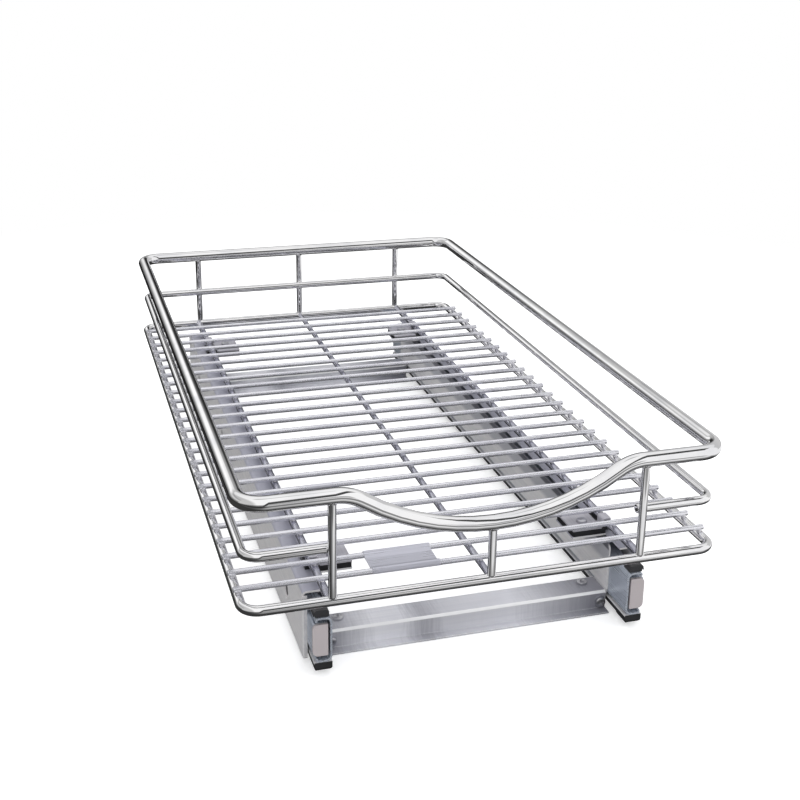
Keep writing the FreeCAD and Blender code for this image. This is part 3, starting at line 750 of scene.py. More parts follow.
def moulded_grain_group():
    """Fine moulded texture with a little settled dust on faces that look up."""
    inputs = [
        ("Colour", "NodeSocketColor", (0.1, 0.1, 0.1, 1)),
        ("Dust", "NodeSocketColor", (0.3, 0.3, 0.3, 1)),
        ("Grain Scale", "NodeSocketFloat", 1400.0),
        ("Dust Amount", "NodeSocketFloat", 0.2),
        ("Smooth", "NodeSocketFloat", 0.4),
        ("Rough", "NodeSocketFloat", 0.6),
    ]
    group, start, end = new_group("moulded_grain", inputs, SURFACE_OUTPUTS)
    place = object_place(group)
    grain = noise_at(group, place, start.outputs["Grain Scale"], 2.0, 0.5)
    drift = noise_at(group, place, 70.0, 4.0)
    upward = map_range(group, split(group, surface_normal(group)).outputs["Z"], 0.2, 1.0, 0.0, 1.0)
    speckle = map_range(group, drift, 0.4, 0.65, 0.2, 1.0)
    settled = combine(group, "MULTIPLY", upward, speckle)
    amount = combine(group, "MULTIPLY", settled, start.outputs["Dust Amount"])
    tint = mix_colour(group, amount, start.outputs["Colour"], start.outputs["Dust"])
    rough = map_range(group, drift, 0.35, 0.7, start.outputs["Smooth"], start.outputs["Rough"])
    send_out(group, end, Colour=tint, Roughness=rough, Height=grain)
    return group


def new_material(name, metallic):
    """Material with one principled shader, and that shader."""
    material = bpy.data.materials.new(FINISH_PREFIX + name)
    material.use_nodes = True
    shader = material.node_tree.nodes["Principled BSDF"]
    shader.inputs["Metallic"].default_value = metallic
    return material, shader


def place_effect(material, group, **values):
    """Put a shared effect into a material with its own values."""
    node = add_node(material.node_tree, "ShaderNodeGroup", node_tree=group)
    for key, value in values.items():
        socket = node.inputs[key.replace("_", " ")]
        if socket.type == "RGBA":
            value = tuple(value) + (1.0,)
        socket.default_value = value
    return node


def surface_from(material, shader, effect, bump_strength, bump_distance):
    """Wire an effect's colour, roughness and height to a shader."""
    links = material.node_tree.links
    links.new(effect.outputs["Colour"], shader.inputs["Base Color"])
    links.new(effect.outputs["Roughness"], shader.inputs["Roughness"])
    bump = add_node(material.node_tree, "ShaderNodeBump")
    bump.inputs["Strength"].default_value = bump_strength
    bump.inputs["Distance"].default_value = bump_distance
    links.new(effect.outputs["Height"], bump.inputs["Height"])
    links.new(bump.outputs["Normal"], shader.inputs["Normal"])


def tint_where(material, mask, tint):
    """Change the base colour to a tint where a mask is high."""
    tree = material.node_tree
    target = tree.nodes["Principled BSDF"].inputs["Base Color"]
    mixed = add_node(tree, "ShaderNodeMix", data_type="RGBA")
    tree.links.new(mask, mixed.inputs["Factor"])
    tree.links.new(target.links[0].from_socket, mixed.inputs["A"])
    mixed.inputs["B"].default_value = tuple(tint) + (1.0,)
    tree.links.new(mixed.outputs["Result"], target)


def add_painted_band(material, group, low, fade, tint):
    """Paint a band of shade: change the base colour from a height upwards, over the height of a fade."""
    mask = place_effect(material, group, Low=low, High=low + fade)
    tint_where(material, mask.outputs["Mask"], tint)


def plated_material(name, group, tint, shade, smooth, rough, bump, metallic):
    """Bright plated metal."""
    material, shader = new_material(name, metallic)
    effect = place_effect(material, group, Colour=tint, Shade=shade, Smooth=smooth, Rough=rough)
    surface_from(material, shader, effect, bump, PLATING_RELIEF)


def sheet_material(name, effects, tint, shade, stretch, metallic, smooth, rough, wear_amount):
    """Rolled or brushed sheet under a dull zinc skin, with brighter cut edges."""
    lines, wear = effects
    material, shader = new_material(name, metallic)
    effect = place_effect(
        material,
        lines,
        Colour=tint,
        Shade=shade,
        Stretch=stretch,
        Smooth=smooth,
        Rough=rough,
    )
    surface_from(material, shader, effect, SHEET_BUMP, SHEET_RELIEF)
    worn = place_effect(material, wear, Amount=wear_amount)
    tint_where(material, worn.outputs["Mask"], colours().worn_edge)


def rail_material(name, effects, painted_sheen):
    """Brushed zinc of the cross rails, with painted reflection patches and painted highlights on bends
    and edges.
    """
    c = colours()
    lines, wear = effects
    material, shader = new_material(name, RAIL_METALLIC)
    tree = material.node_tree
    effect = place_effect(
        material,
        lines,
        Colour=c.rail_sheet,
        Shade=c.rail_shade,
        Stretch=ALONG_RAIL,
        Smooth=0.28,
        Rough=0.4,
    )
    surface_from(material, shader, effect, SHEET_BUMP, SHEET_RELIEF)
    # Painted reflection: light and dark patches along the rail
    patches = place_effect(material, painted_sheen, Shade=c.rail_painted_dark)
    tree.links.new(effect.outputs["Colour"], patches.inputs["Colour"])
    tree.links.new(patches.outputs["Colour"], shader.inputs["Base Color"])
    # Painted highlight on the upper bends and on the edges, which are partly worn
    worn = place_effect(material, wear, Radius=RAIL_HIGHLIGHT_R, Amount=1.0, Least=0.7)
    bright = combine(tree, "MAXIMUM", worn.outputs["Mask"], patches.outputs["Bend"])
    tint_where(material, bright, c.rail_bend_highlight)


def moulded_material(name, group, tint, grain, dust_amount, smooth, rough, bump):
    """Moulded plastic or rubber."""
    material, shader = new_material(name, 0.0)
    effect = place_effect(
        material,
        group,
        Colour=tint,
        Dust=colours().dust,
        Grain_Scale=grain,
        Dust_Amount=dust_amount,
        Smooth=smooth,
        Rough=rough,
    )
    surface_from(material, shader, effect, bump, SHEET_RELIEF)


def material_of(name):
    """A finish made by the finishes operator."""
    return bpy.data.materials[FINISH_PREFIX + name]


# Piece builders


def rail_frame(node, diameter):
    """Middle line of a rail: left, right, front, back and height."""
    low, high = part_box(node)
    r = diameter / 2
    return low.x + r, high.x - r, low.y + r, high.y - r, high.z - r


def top_rail_path():
    """Middle line of the top rail with the finger dip in front."""
    s = sizes()
    left, right, front, back, z = rail_frame("top_rail", s.top_rail_d)
    curve_sum = (s.dip_half_width ** 2 + s.dip_depth ** 2) / (2 * s.dip_depth)
    slope = math.asin(s.dip_half_width / curve_sum)
    dip_r = curve_sum - s.dip_shoulder_r
    shoulder_x = s.dip_half_width - s.dip_shoulder_r * math.tan(slope / 2)
    apex_z = z - shoulder_x * math.tan(slope)
    corners = [
        Vector((left, front, z)),
        Vector((-shoulder_x, front, z)),
        Vector((0, front, apex_z)),
        Vector((shoulder_x, front, z)),
        Vector((right, front, z)),
        Vector((right, back, z)),
        Vector((left, back, z)),
    ]
    corner = s.top_corner_r
    radii = [corner, s.dip_shoulder_r, dip_r, s.dip_shoulder_r, corner, corner, corner]
    return rounded_path(corners, radii, closed=True)


def post_places():
    """Posts as (x, y, base height, top height, y of the top rail), the front row first."""
    s = sizes()
    base_z = rail_frame("base_rail", s.base_rail_d)[4]
    _, _, front, back, top_z = rail_frame("top_rail", s.top_rail_d)
    places = []
    for node, rail_y, dip in (("front_posts", front, s.dip_depth), ("rear_posts", back, 0.0)):
        y = (cad_low(node).y + cad_high(node).y) / 2
        places.append((-s.post_spacing, y, base_z, top_z, rail_y))
        places.append((0.0, y, base_z, top_z - dip, rail_y))
        places.append((s.post_spacing, y, base_z, top_z, rail_y))
    return places


def cross_wire_places():
    """Places of the cross wires along Y, and their height."""
    low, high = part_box("cross_wires")
    r = sizes().cross_wire_d / 2
    step = (high.y - low.y - 2 * r) / (CROSS_WIRE_COUNT - 1)
    return [low.y + r + i * step for i in range(CROSS_WIRE_COUNT)], low.z + r


def recess_height(x, y, r_head, head_h):
    """Height of a pan head's surface over its seat, with the cross recess sunk into it."""
    arm = r_head * RECESS_ARM
    half = r_head * RECESS_HALF
    bulge = math.sqrt(max(0.0, 1 - (x * x + y * y) / (r_head * r_head)))
    dome = head_h * (HEAD_RIM + (1 - HEAD_RIM) * bulge)
    along = max(abs(x), abs(y))
    across = min(abs(x), abs(y))
    taper = half * (1.0 - RECESS_TAPER * along / arm)
    wall = min(1.0, max(0.0, (taper - across) / (RECESS_WALL * half) + 0.5))
    reach = min(1.0, max(0.0, (arm - along) / (RECESS_END * arm)))
    return dome - head_h * RECESS_DEPTH * wall * reach


def screw_head_mesh(bm, place, head_d, head_h, shank_d, shank_l):
    """Pan head with a cross recess, on a plain shank; the seat is at z = 0 and the head above."""
    r_head = head_d / 2
    r_shank = shank_d / 2
    centre = bm.verts.new(place @ Vector((0, 0, recess_height(0, 0, r_head, head_h))))
    loops = []
    for i in range(1, SCREW_RINGS + 1):
        radius = r_head * math.sin(i / SCREW_RINGS * math.pi / 2)
        loop = []
        for k in range(SCREW_SIDES):
            angle = 2 * math.pi * k / SCREW_SIDES
            x = radius * math.cos(angle)
            y = radius * math.sin(angle)
            loop.append(bm.verts.new(place @ Vector((x, y, recess_height(x, y, r_head, head_h)))))
        loops.append(loop)
    for k in range(SCREW_SIDES):
        bm.faces.new((centre, loops[0][k], loops[0][(k + 1) % SCREW_SIDES]))
    profile = (
        (r_head, head_h * HEAD_EDGE),
        (r_head * HEAD_SEAT, 0.0),
        (r_shank, 0.0),
        (r_shank, -shank_l),
    )
    side = Vector((1, 0, 0))
    other = Vector((0, 1, 0))
    for radius, height in profile:
        ring = ring_points(Vector((0, 0, height)), side, other, radius, SCREW_SIDES)
        loops.append([bm.verts.new(place @ p) for p in ring])
    join_loops(bm, loops)
    bm.faces.new(loops[-1])


def facing(place, heading, turn):
    """Matrix that puts local +Z against a heading at a place."""
    quarter = (-Vector(heading)).to_track_quat("Z", "Y").to_matrix().to_4x4()
    return Matrix.Translation(place) @ quarter @ Matrix.Rotation(turn, 4, "Z")


def add_screws(name, node, body, seats, shank_l):
    """One object with all the screws of a node."""
    s = sizes()
    bm = bmesh.new()
    for i, (seat, heading) in enumerate(seats):
        place = facing(seat, heading, SCREW_TURN_START + SCREW_TURN_STEP * i)
        screw_head_mesh(bm, place, s.screw_head_d, s.screw_head_h, s.screw_d, shank_l)
    piece = mesh_object(name, bm, material_of("plated_screw"))
    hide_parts(node)
    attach(piece, body)


def cross_rail_seats():
    """Seats and headings of the screws in the front and the rear cross rail."""
    low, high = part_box("front_cross_rail")
    rear_high = cad_high("rear_cross_rail")
    s = sizes()
    face_y = low.y + s.rail_lip
    front, rear = [], []
    for side in (1, -1):
        front.append((Vector((side * s.top_screw_x, face_y + s.top_screw_setback, high.z)), (0, 0, -1)))
        front.append((Vector((side * s.face_screw_x, face_y, s.face_screw_z)), (0, 1, 0)))
    for seat, heading in front:
        mirrored = Vector((seat.x, low.y + rear_high.y - seat.y, seat.z))
        rear.append((mirrored, (0, -heading[1], heading[2])))
    return front, rear


class DRAWER_OT_finishes(bpy.types.Operator):
    """Make the shared effects and the finishes"""

    bl_idname = "drawer.finishes"
    bl_label = "Finishes"

    def execute(self, context):
        c = colours()
        plating = plating_group()
        for name, tint, shade, *values in PLATED:
            plated_material(name, plating, getattr(c, tint), getattr(c, shade), *values)
        effects = (drawn_lines_group(), edge_wear_group())
        for name, tint, shade, *values in SHEETS:
            sheet_material(name, effects, getattr(c, tint), getattr(c, shade), *values)
        rail_material("brushed_rail", effects, painted_sheen_group())
        grain = moulded_grain_group()
        for name, tint, *values in MOULDED:
            moulded_material(name, grain, getattr(c, tint), *values)
        # Bands of painted shade, and the floor strips' band of shaded sheet colour
        band = painted_band_group()
        for name, node, depth, fade, tint in BANDS:
            add_painted_band(material_of(name), band, cad_high(node).z - depth, fade, getattr(c, tint))
        return {"FINISHED"}


class DRAWER_OT_rails(bpy.types.Operator):
    """Bend the top, middle and base rails of the basket"""

    bl_idname = "drawer.rails"
    bl_label = "Rails"

    def execute(self, context):
        s = sizes()
        bm = bmesh.new()
        add_tube(bm, top_rail_path(), s.top_rail_d / 2, THICK_SIDES, closed=True)
        place_wire(bm, "top_rail_wire", "bright_wire", "top_rail")

        left, right, front, back, z = rail_frame("middle_rail", s.middle_rail_d)
        end_x = s.post_spacing - s.post_d / 2
        corners = [
            Vector((-end_x, front, z)),
            Vector((left, front, z)),
            Vector((left, back, z)),
            Vector((right, back, z)),
            Vector((right, front, z)),
            Vector((end_x, front, z)),
        ]
        bm = bmesh.new()
        path = rounded_path(corners, [s.middle_corner_r] * len(corners), closed=False)
        add_tube(bm, path, s.middle_rail_d / 2, RAIL_SIDES, end_r=s.cut_end_r)
        place_wire(bm, "middle_rail_wire", "bright_wire", "middle_rail")

        left, right, front, back, z = rail_frame("base_rail", s.base_rail_d)
        corners = [
            Vector((left, front, z)),
            Vector((right, front, z)),
            Vector((right, back, z)),
            Vector((left, back, z)),
        ]
        bm = bmesh.new()
        path = rounded_path(corners, [s.base_corner_r] * len(corners), closed=True)
        add_tube(bm, path, s.base_rail_d / 2, RAIL_SIDES, closed=True)
        place_wire(bm, "base_rail_wire", "bright_wire", "base_rail")
        return {"FINISHED"}


class DRAWER_OT_posts(bpy.types.Operator):
    """Stand the posts between the rails"""

    bl_idname = "drawer.posts"
    bl_label = "Posts"

    def execute(self, context):
        r = sizes().post_d / 2
        crown = sizes().base_rail_d / 2 * WELD_CROWN
        places = post_places()
        rows = (
            ("front_post_wires", "front_posts", places[:ROW_POSTS]),
            ("rear_post_wires", "rear_posts", places[ROW_POSTS:]),
        )
        for name, node, posts in rows:
            bm = bmesh.new()
            for x, y, base_z, top_z, _ in posts:
                foot = Vector((x, y, base_z + crown))
                add_tube(bm, straight_path(foot, Vector((x, y, top_z)), POST_STEPS), r, POST_SIDES)
            place_wire(bm, name, "bright_wire", node)
        return {"FINISHED"}


class DRAWER_OT_floor_wires(bpy.types.Operator):
    """Lay the cross wires and the long wires of the basket's floor"""

    bl_idname = "drawer.floor_wires"
    bl_label = "Floor wires"

    def execute(self, context):
        s = sizes()
        rows, z = cross_wire_places()
        reach = cad_high("cross_wires").x
        bm = bmesh.new()
        for y in rows:
            path = straight_path(Vector((-reach, y, z)), Vector((reach, y, z)), WIRE_STEPS)
            add_tube(bm, path, s.cross_wire_d / 2, CROSS_SIDES, end_r=s.cut_end_r)
        place_wire(bm, "cross_wire_rods", "satin_wire", "cross_wires")
        for name, node, diameter in (
            ("runner_wire_rods", "runner_wires", s.runner_wire_d),
            ("centre_wire_rod", "centre_wire", s.centre_wire_d),
        ):
            low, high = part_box(node)
            r = diameter / 2
            # A wire that lies alone gives the same place from both sides
            places = {round(low.x + r, 5), round(high.x - r, 5)}
            bm = bmesh.new()
            for x in sorted(places):
                start = Vector((x, low.y, low.z + r))
                end = Vector((x, high.y, low.z + r))
                add_tube(bm, straight_path(start, end, WIRE_STEPS), r, LONG_SIDES)
            place_wire(bm, name, "long_wire", node)
        return {"FINISHED"}


class DRAWER_OT_welds(bpy.types.Operator):
    """Add the weld fillets and nuggets where wires meet"""

    bl_idname = "drawer.welds"
    bl_label = "Welds"

    def execute(self, context):
        self.fillets()
        self.nuggets()
        return {"FINISHED"}

    def fillets(self):
        """Fillets at both ends of each post."""
        s = sizes()
        post_r = s.post_d / 2
        top_r = s.top_rail_d / 2
        base_r = s.base_rail_d / 2
        base_front, base_back = rail_frame("base_rail", s.base_rail_d)[2:4]
        bm = bmesh.new()
        for i, (x, y, base_z, top_z, rail_y) in enumerate(post_places()):
            add_saddle_weld(bm, x, y, post_r, top_z, top_r, rail_y, s.weld_size, upward=False)
            low_y = base_front if i < ROW_POSTS else base_back
            add_saddle_weld(bm, x, y, post_r, base_z, base_r, low_y, s.weld_size, upward=True)
        place_wire(bm, "post_welds", "bright_wire")

    def nuggets(self):
        """Nuggets where the middle rail meets the posts and under the cross wires."""
        s = sizes()
        _, _, front, back, middle_z = rail_frame("middle_rail", s.middle_rail_d)
        bm = bmesh.new()
        for i, (x, y, _, _, _) in enumerate(post_places()):
            in_front = i < ROW_POSTS
            meet_y = (y + (front if in_front else back)) / 2
            for side in (-1, 1):
                if in_front and side * x <= 0:
                    continue
                add_bead(bm, Vector((x + side * s.post_d / 2 * BEAD_REACH, meet_y, middle_z)), POST_BEAD)
        rows, wire_z = cross_wire_places()
        runner_x = cad_high("runner_wires").x - s.runner_wire_d / 2
        rail_x = rail_frame("base_rail", s.base_rail_d)[1]
        touch_z = wire_z - s.cross_wire_d / 2
        for y in rows:
            for x in (-rail_x, -runner_x, 0.0, runner_x, rail_x):
                add_bead(bm, Vector((x, y, touch_z)), WIRE_NUGGET)
        place_wire(bm, "weld_nuggets", "weld_metal")


class DRAWER_OT_name_plate(bpy.types.Operator):
    """Curl a bare plate round two cross wires near the front"""

    bl_idname = "drawer.name_plate"
    bl_label = "Bare name plate"

    def execute(self, context):
        s = sizes()
        half = s.plate_sheet / 2
        line = self.side_line()
        run_x = s.plate_right - s.plate_left
        columns = [s.plate_left + run_x * share for share in PLATE_COLUMNS]
        bm = bmesh.new()
        grids = []
        for side in (1, -1):
            grid = []
            for j, (y, z) in enumerate(line):
                ahead = line[min(j + 1, len(line) - 1)]
                behind = line[max(j - 1, 0)]
                run = Vector((0, ahead[0] - behind[0], ahead[1] - behind[1])).normalized()
                normal = Vector((0, -run.z, run.y))
                grid.append([bm.verts.new(Vector((x, y, z)) + normal * half * side) for x in columns])
            grids.append(grid)
        upper, lower = grids
        last = len(line) - 1
        for j in range(last):
            for i in range(len(columns) - 1):
                bm.faces.new((upper[j][i], upper[j][i + 1], upper[j + 1][i + 1], upper[j + 1][i]))
                bm.faces.new((lower[j][i], lower[j + 1][i], lower[j + 1][i + 1], lower[j][i + 1]))
            for i in (0, len(columns) - 1):
                bm.faces.new((upper[j][i], upper[j + 1][i], lower[j + 1][i], lower[j][i]))
        for i in range(len(columns) - 1):
            for j in (0, last):
                bm.faces.new((upper[j][i], upper[j][i + 1], lower[j][i + 1], lower[j][i]))
        piece = place_wire(bm, "bare_name_plate", "name_plate_sheet")
        soften_edges(piece, PLATE_EDGE_R, weld=False)
        return {"FINISHED"}

    def side_line(self):
        """Middle line of the plate from the side, as (y, z): round a wire, across, round the next."""
        s = sizes()
        rows, wire_z = cross_wire_places()
        wrap_r = s.cross_wire_d / 2 + s.plate_sheet / 2 + PLATE_GAP
        bends = []
        for y, first in zip(rows, PLATE_STARTS):
            bend = []
            for k in range(PLATE_WRAP_STEPS + 1):
                angle = math.radians(first - PLATE_WRAP * k / PLATE_WRAP_STEPS)
                bend.append((y + wrap_r * math.cos(angle), wire_z + wrap_r * math.sin(angle)))
            bends.append(bend)
        span = rows[1] - rows[0]
        flat = [(rows[0] + span * share, wire_z - PLATE_FALL) for share in PLATE_ROWS]
        return bends[0] + flat + bends[1]


class DRAWER_OT_screws(bpy.types.Operator):
    """Drive the cross-recess screws"""

    bl_idname = "drawer.screws"
    bl_label = "Screws"

    def execute(self, context):
        front, rear = cross_rail_seats()
        add_screws("front_rail_screw_heads", "front_rail_screws", "base", front, RAIL_SCREW_SHANK)
        add_screws("rear_rail_screw_heads", "rear_rail_screws", "base", rear, RAIL_SCREW_SHANK)
        low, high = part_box("clip_screws")
        r = sizes().screw_head_d / 2
        x = high.x - r
        seat_z = high.z - sizes().screw_head_h
        seats = []
        for side in (1, -1):
            for y in (low.y + r, high.y - r):
                seats.append((Vector((side * x, y, seat_z)), (0, 0, -1)))
        add_screws("clip_screw_heads", "clip_screws", "basket", seats, CLIP_SCREW_SHANK)
        return {"FINISHED"}


def soften_edges(piece, width, weld=True):
    """Round the sharp edges of a piece with modifiers; its own mesh stays as it is."""
    if weld:
        joint = piece.modifiers.new("join_seams", "WELD")
        joint.merge_threshold = SEAM_GAP
        plane = piece.modifiers.new("flat_faces", "DECIMATE")
        plane.decimate_type = "DISSOLVE"
        plane.angle_limit = FLAT_ANGLE
    bevel = piece.modifiers.new("soft_edges", "BEVEL")
    bevel.width = width
    bevel.segments = EDGE_SEGMENTS
    bevel.limit_method = "ANGLE"
    bevel.angle_limit = EDGE_ANGLE
    bevel.use_clamp_overlap = True
    bevel.harden_normals = False
    shade = piece.modifiers.new("even_shading", "WEIGHTED_NORMAL")
    shade.mode = "FACE_AREA_WITH_ANGLE"
    shade.weight = SHADING_WEIGHT
    shade.keep_sharp = True


# Nodes that keep the frame's own form, by finish: the first with rounded edges, the second round already
SHEET_FINISH = {
    "carriage_sheet": ("carriage_left", "carriage_right"),
    "bracket_sheet": ("base_bracket_left", "base_bracket_right"),
    "brushed_rail": ("front_cross_rail", "rear_cross_rail"),
    "slide_steel": (
        "outer_slide_left",
        "outer_slide_right",
        "inner_slide_left",
        "inner_slide_right",
        "ball_cage_left",
        "ball_cage_right",
    ),
    "clip_sheet": ("clip_plates",),
    "grey_plastic": ("slide_end_caps",),
    "black_plastic": ("clip_blocks",),
    "dark_plastic": ("stop_clips",),
    "black_rubber": ("rear_bumpers",),
    "strip_rubber": ("floor_strip_left", "floor_strip_right"),
}
ROUND_FINISH = {
    "polished_ball": ("slide_balls_left", "slide_balls_right"),
    "plated_screw": ("slide_rivets",),
}


class DRAWER_OT_sheet_parts(bpy.types.Operator):
    """Finish the sheet, plastic and rubber parts of the frame"""

    bl_idname = "drawer.sheet_parts"
    bl_label = "Sheet, plastic and rubber parts"

    def execute(self, context):
        width = sizes().sheet_edge_r
        for finish, nodes in SHEET_FINISH.items():
            for node in nodes:
                self.dress(node, finish)
                soften_edges(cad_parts[node], width)
        for finish, nodes in ROUND_FINISH.items():
            for node in nodes:
                self.dress(node, finish)
        return {"FINISHED"}

    def dress(self, node, finish):
        """Give a node its finish and smooth shading."""
        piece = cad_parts[node]
        for slot in piece.material_slots:
            slot.material = material_of(finish)
        if not piece.material_slots:
            piece.data.materials.append(material_of(finish))
        for polygon in piece.data.polygons:
            polygon.use_smooth = True


# Brightness of the studio in polished metal, as (place, level). The rear wall goes by sine of height,
# the front wall by share of a half turn, and the floor by metres ahead of the drawer and by metres
# across from 0.5 m left of it.
REAR_WALL = (
    (0.0, 0.02),
    (0.2, 0.03),
    (0.3, 0.06),
    (0.4, 0.35),
    (0.46, 0.45),
    (0.54, 0.5),
    (0.6, 0.85),
    (0.96, 0.92),
    (0.99, 0.5),
)
FRONT_WALL = (
    (0.0, 0.95),
    (0.2, 0.97),
    (0.215, 0.07),
    (0.355, 0.07),
    (0.375, 0.95),
    (1.0, 0.95),
)
FLOOR_AHEAD = (
    (0.0, 0.04),
    (0.03, 0.08),
    (0.07, 0.3),
    (0.095, 0.45),
    (0.11, 0.78),
    (0.18, 0.78),
    (0.2, 0.3),
    (0.3, 0.22),
    (0.6, 0.3),
    (0.95, 0.5),
)
FLOOR_ACROSS = (
    (0.25, 0.1),
    (0.34, 0.2),
    (0.41, 0.6),
    (0.45, 0.9),
    (0.5, 1.0),
    (0.7, 1.1),
)
HALF_FLOOR = 0.5
GAP_SLANT = 0.833
GAP_PLACE = 0.324

# Fades between zones of the studio: start, end, level at the start and level at the end
BOX_SIDE = (0.16, -0.02, 0.0, 1.05)
BOX_FOOT = (0.08, 0.3, 0.2, 1.0)
BOX_HEAD = (0.38, 0.56, 1.0, 0.45)
FAR_RIGHT = (0.38, 0.5, 0.0, 0.6)
LOW_FRONT = (0.06, 0.09, 0.6, 0.0)
LEFT_FRONT = (0.36, 0.44, 1.0, 0.0)
FRONT_SIDE = (0.04, -0.06, 0.0, 1.0)
LEFT_SIDE = (-0.6, -0.4, 0.6, 1.0)
FLOOR_RIGHT = (0.26, 0.34, 0.04, 0.95)
FLOOR_BEHIND = (0.2, 0.34, 1.0, 0.4)
WHITE_FLOOR = (0.5, 0.9, 0.0, 1.0)

# Floor, ambient light and lamps; each lamp has its place, target, sides and radiance
FLOOR_R = 6.0
FLOOR_SIDES = 64
FLOOR_DROP = 0.05 * MM
FLOOR_LIFT = 0.45
AMBIENT = (0.97, 0.98, 1.0)
AMBIENT_LEVEL = 0.95
WHITE = (1.0, 1.0, 1.0)
LAMPS = {
    "overhead_softbox": ((0.1, 0.1, 1.6), (0.0, 0.0, 0.0), (2.4, 2.4), 0.55),
    "right_softbox": ((1.7, -0.5, 0.75), (0.0, 0.0, 0.05), (1.3, 0.9), 0.8),
}

# Camera fitted to the straight rails: angles in radians, place in metres
CAMERA_YAW = 0.293278
CAMERA_PITCH = 0.325858
CAMERA_ROLL = 0.013129
CAMERA_PLACE = (-0.233825, -0.844874, 0.407134)
CAMERA_LENS = 56.585
CAMERA_SENSOR = 36.0
CAMERA_SHIFT = -0.075
CAMERA_RANGE = (0.01, 50.0)


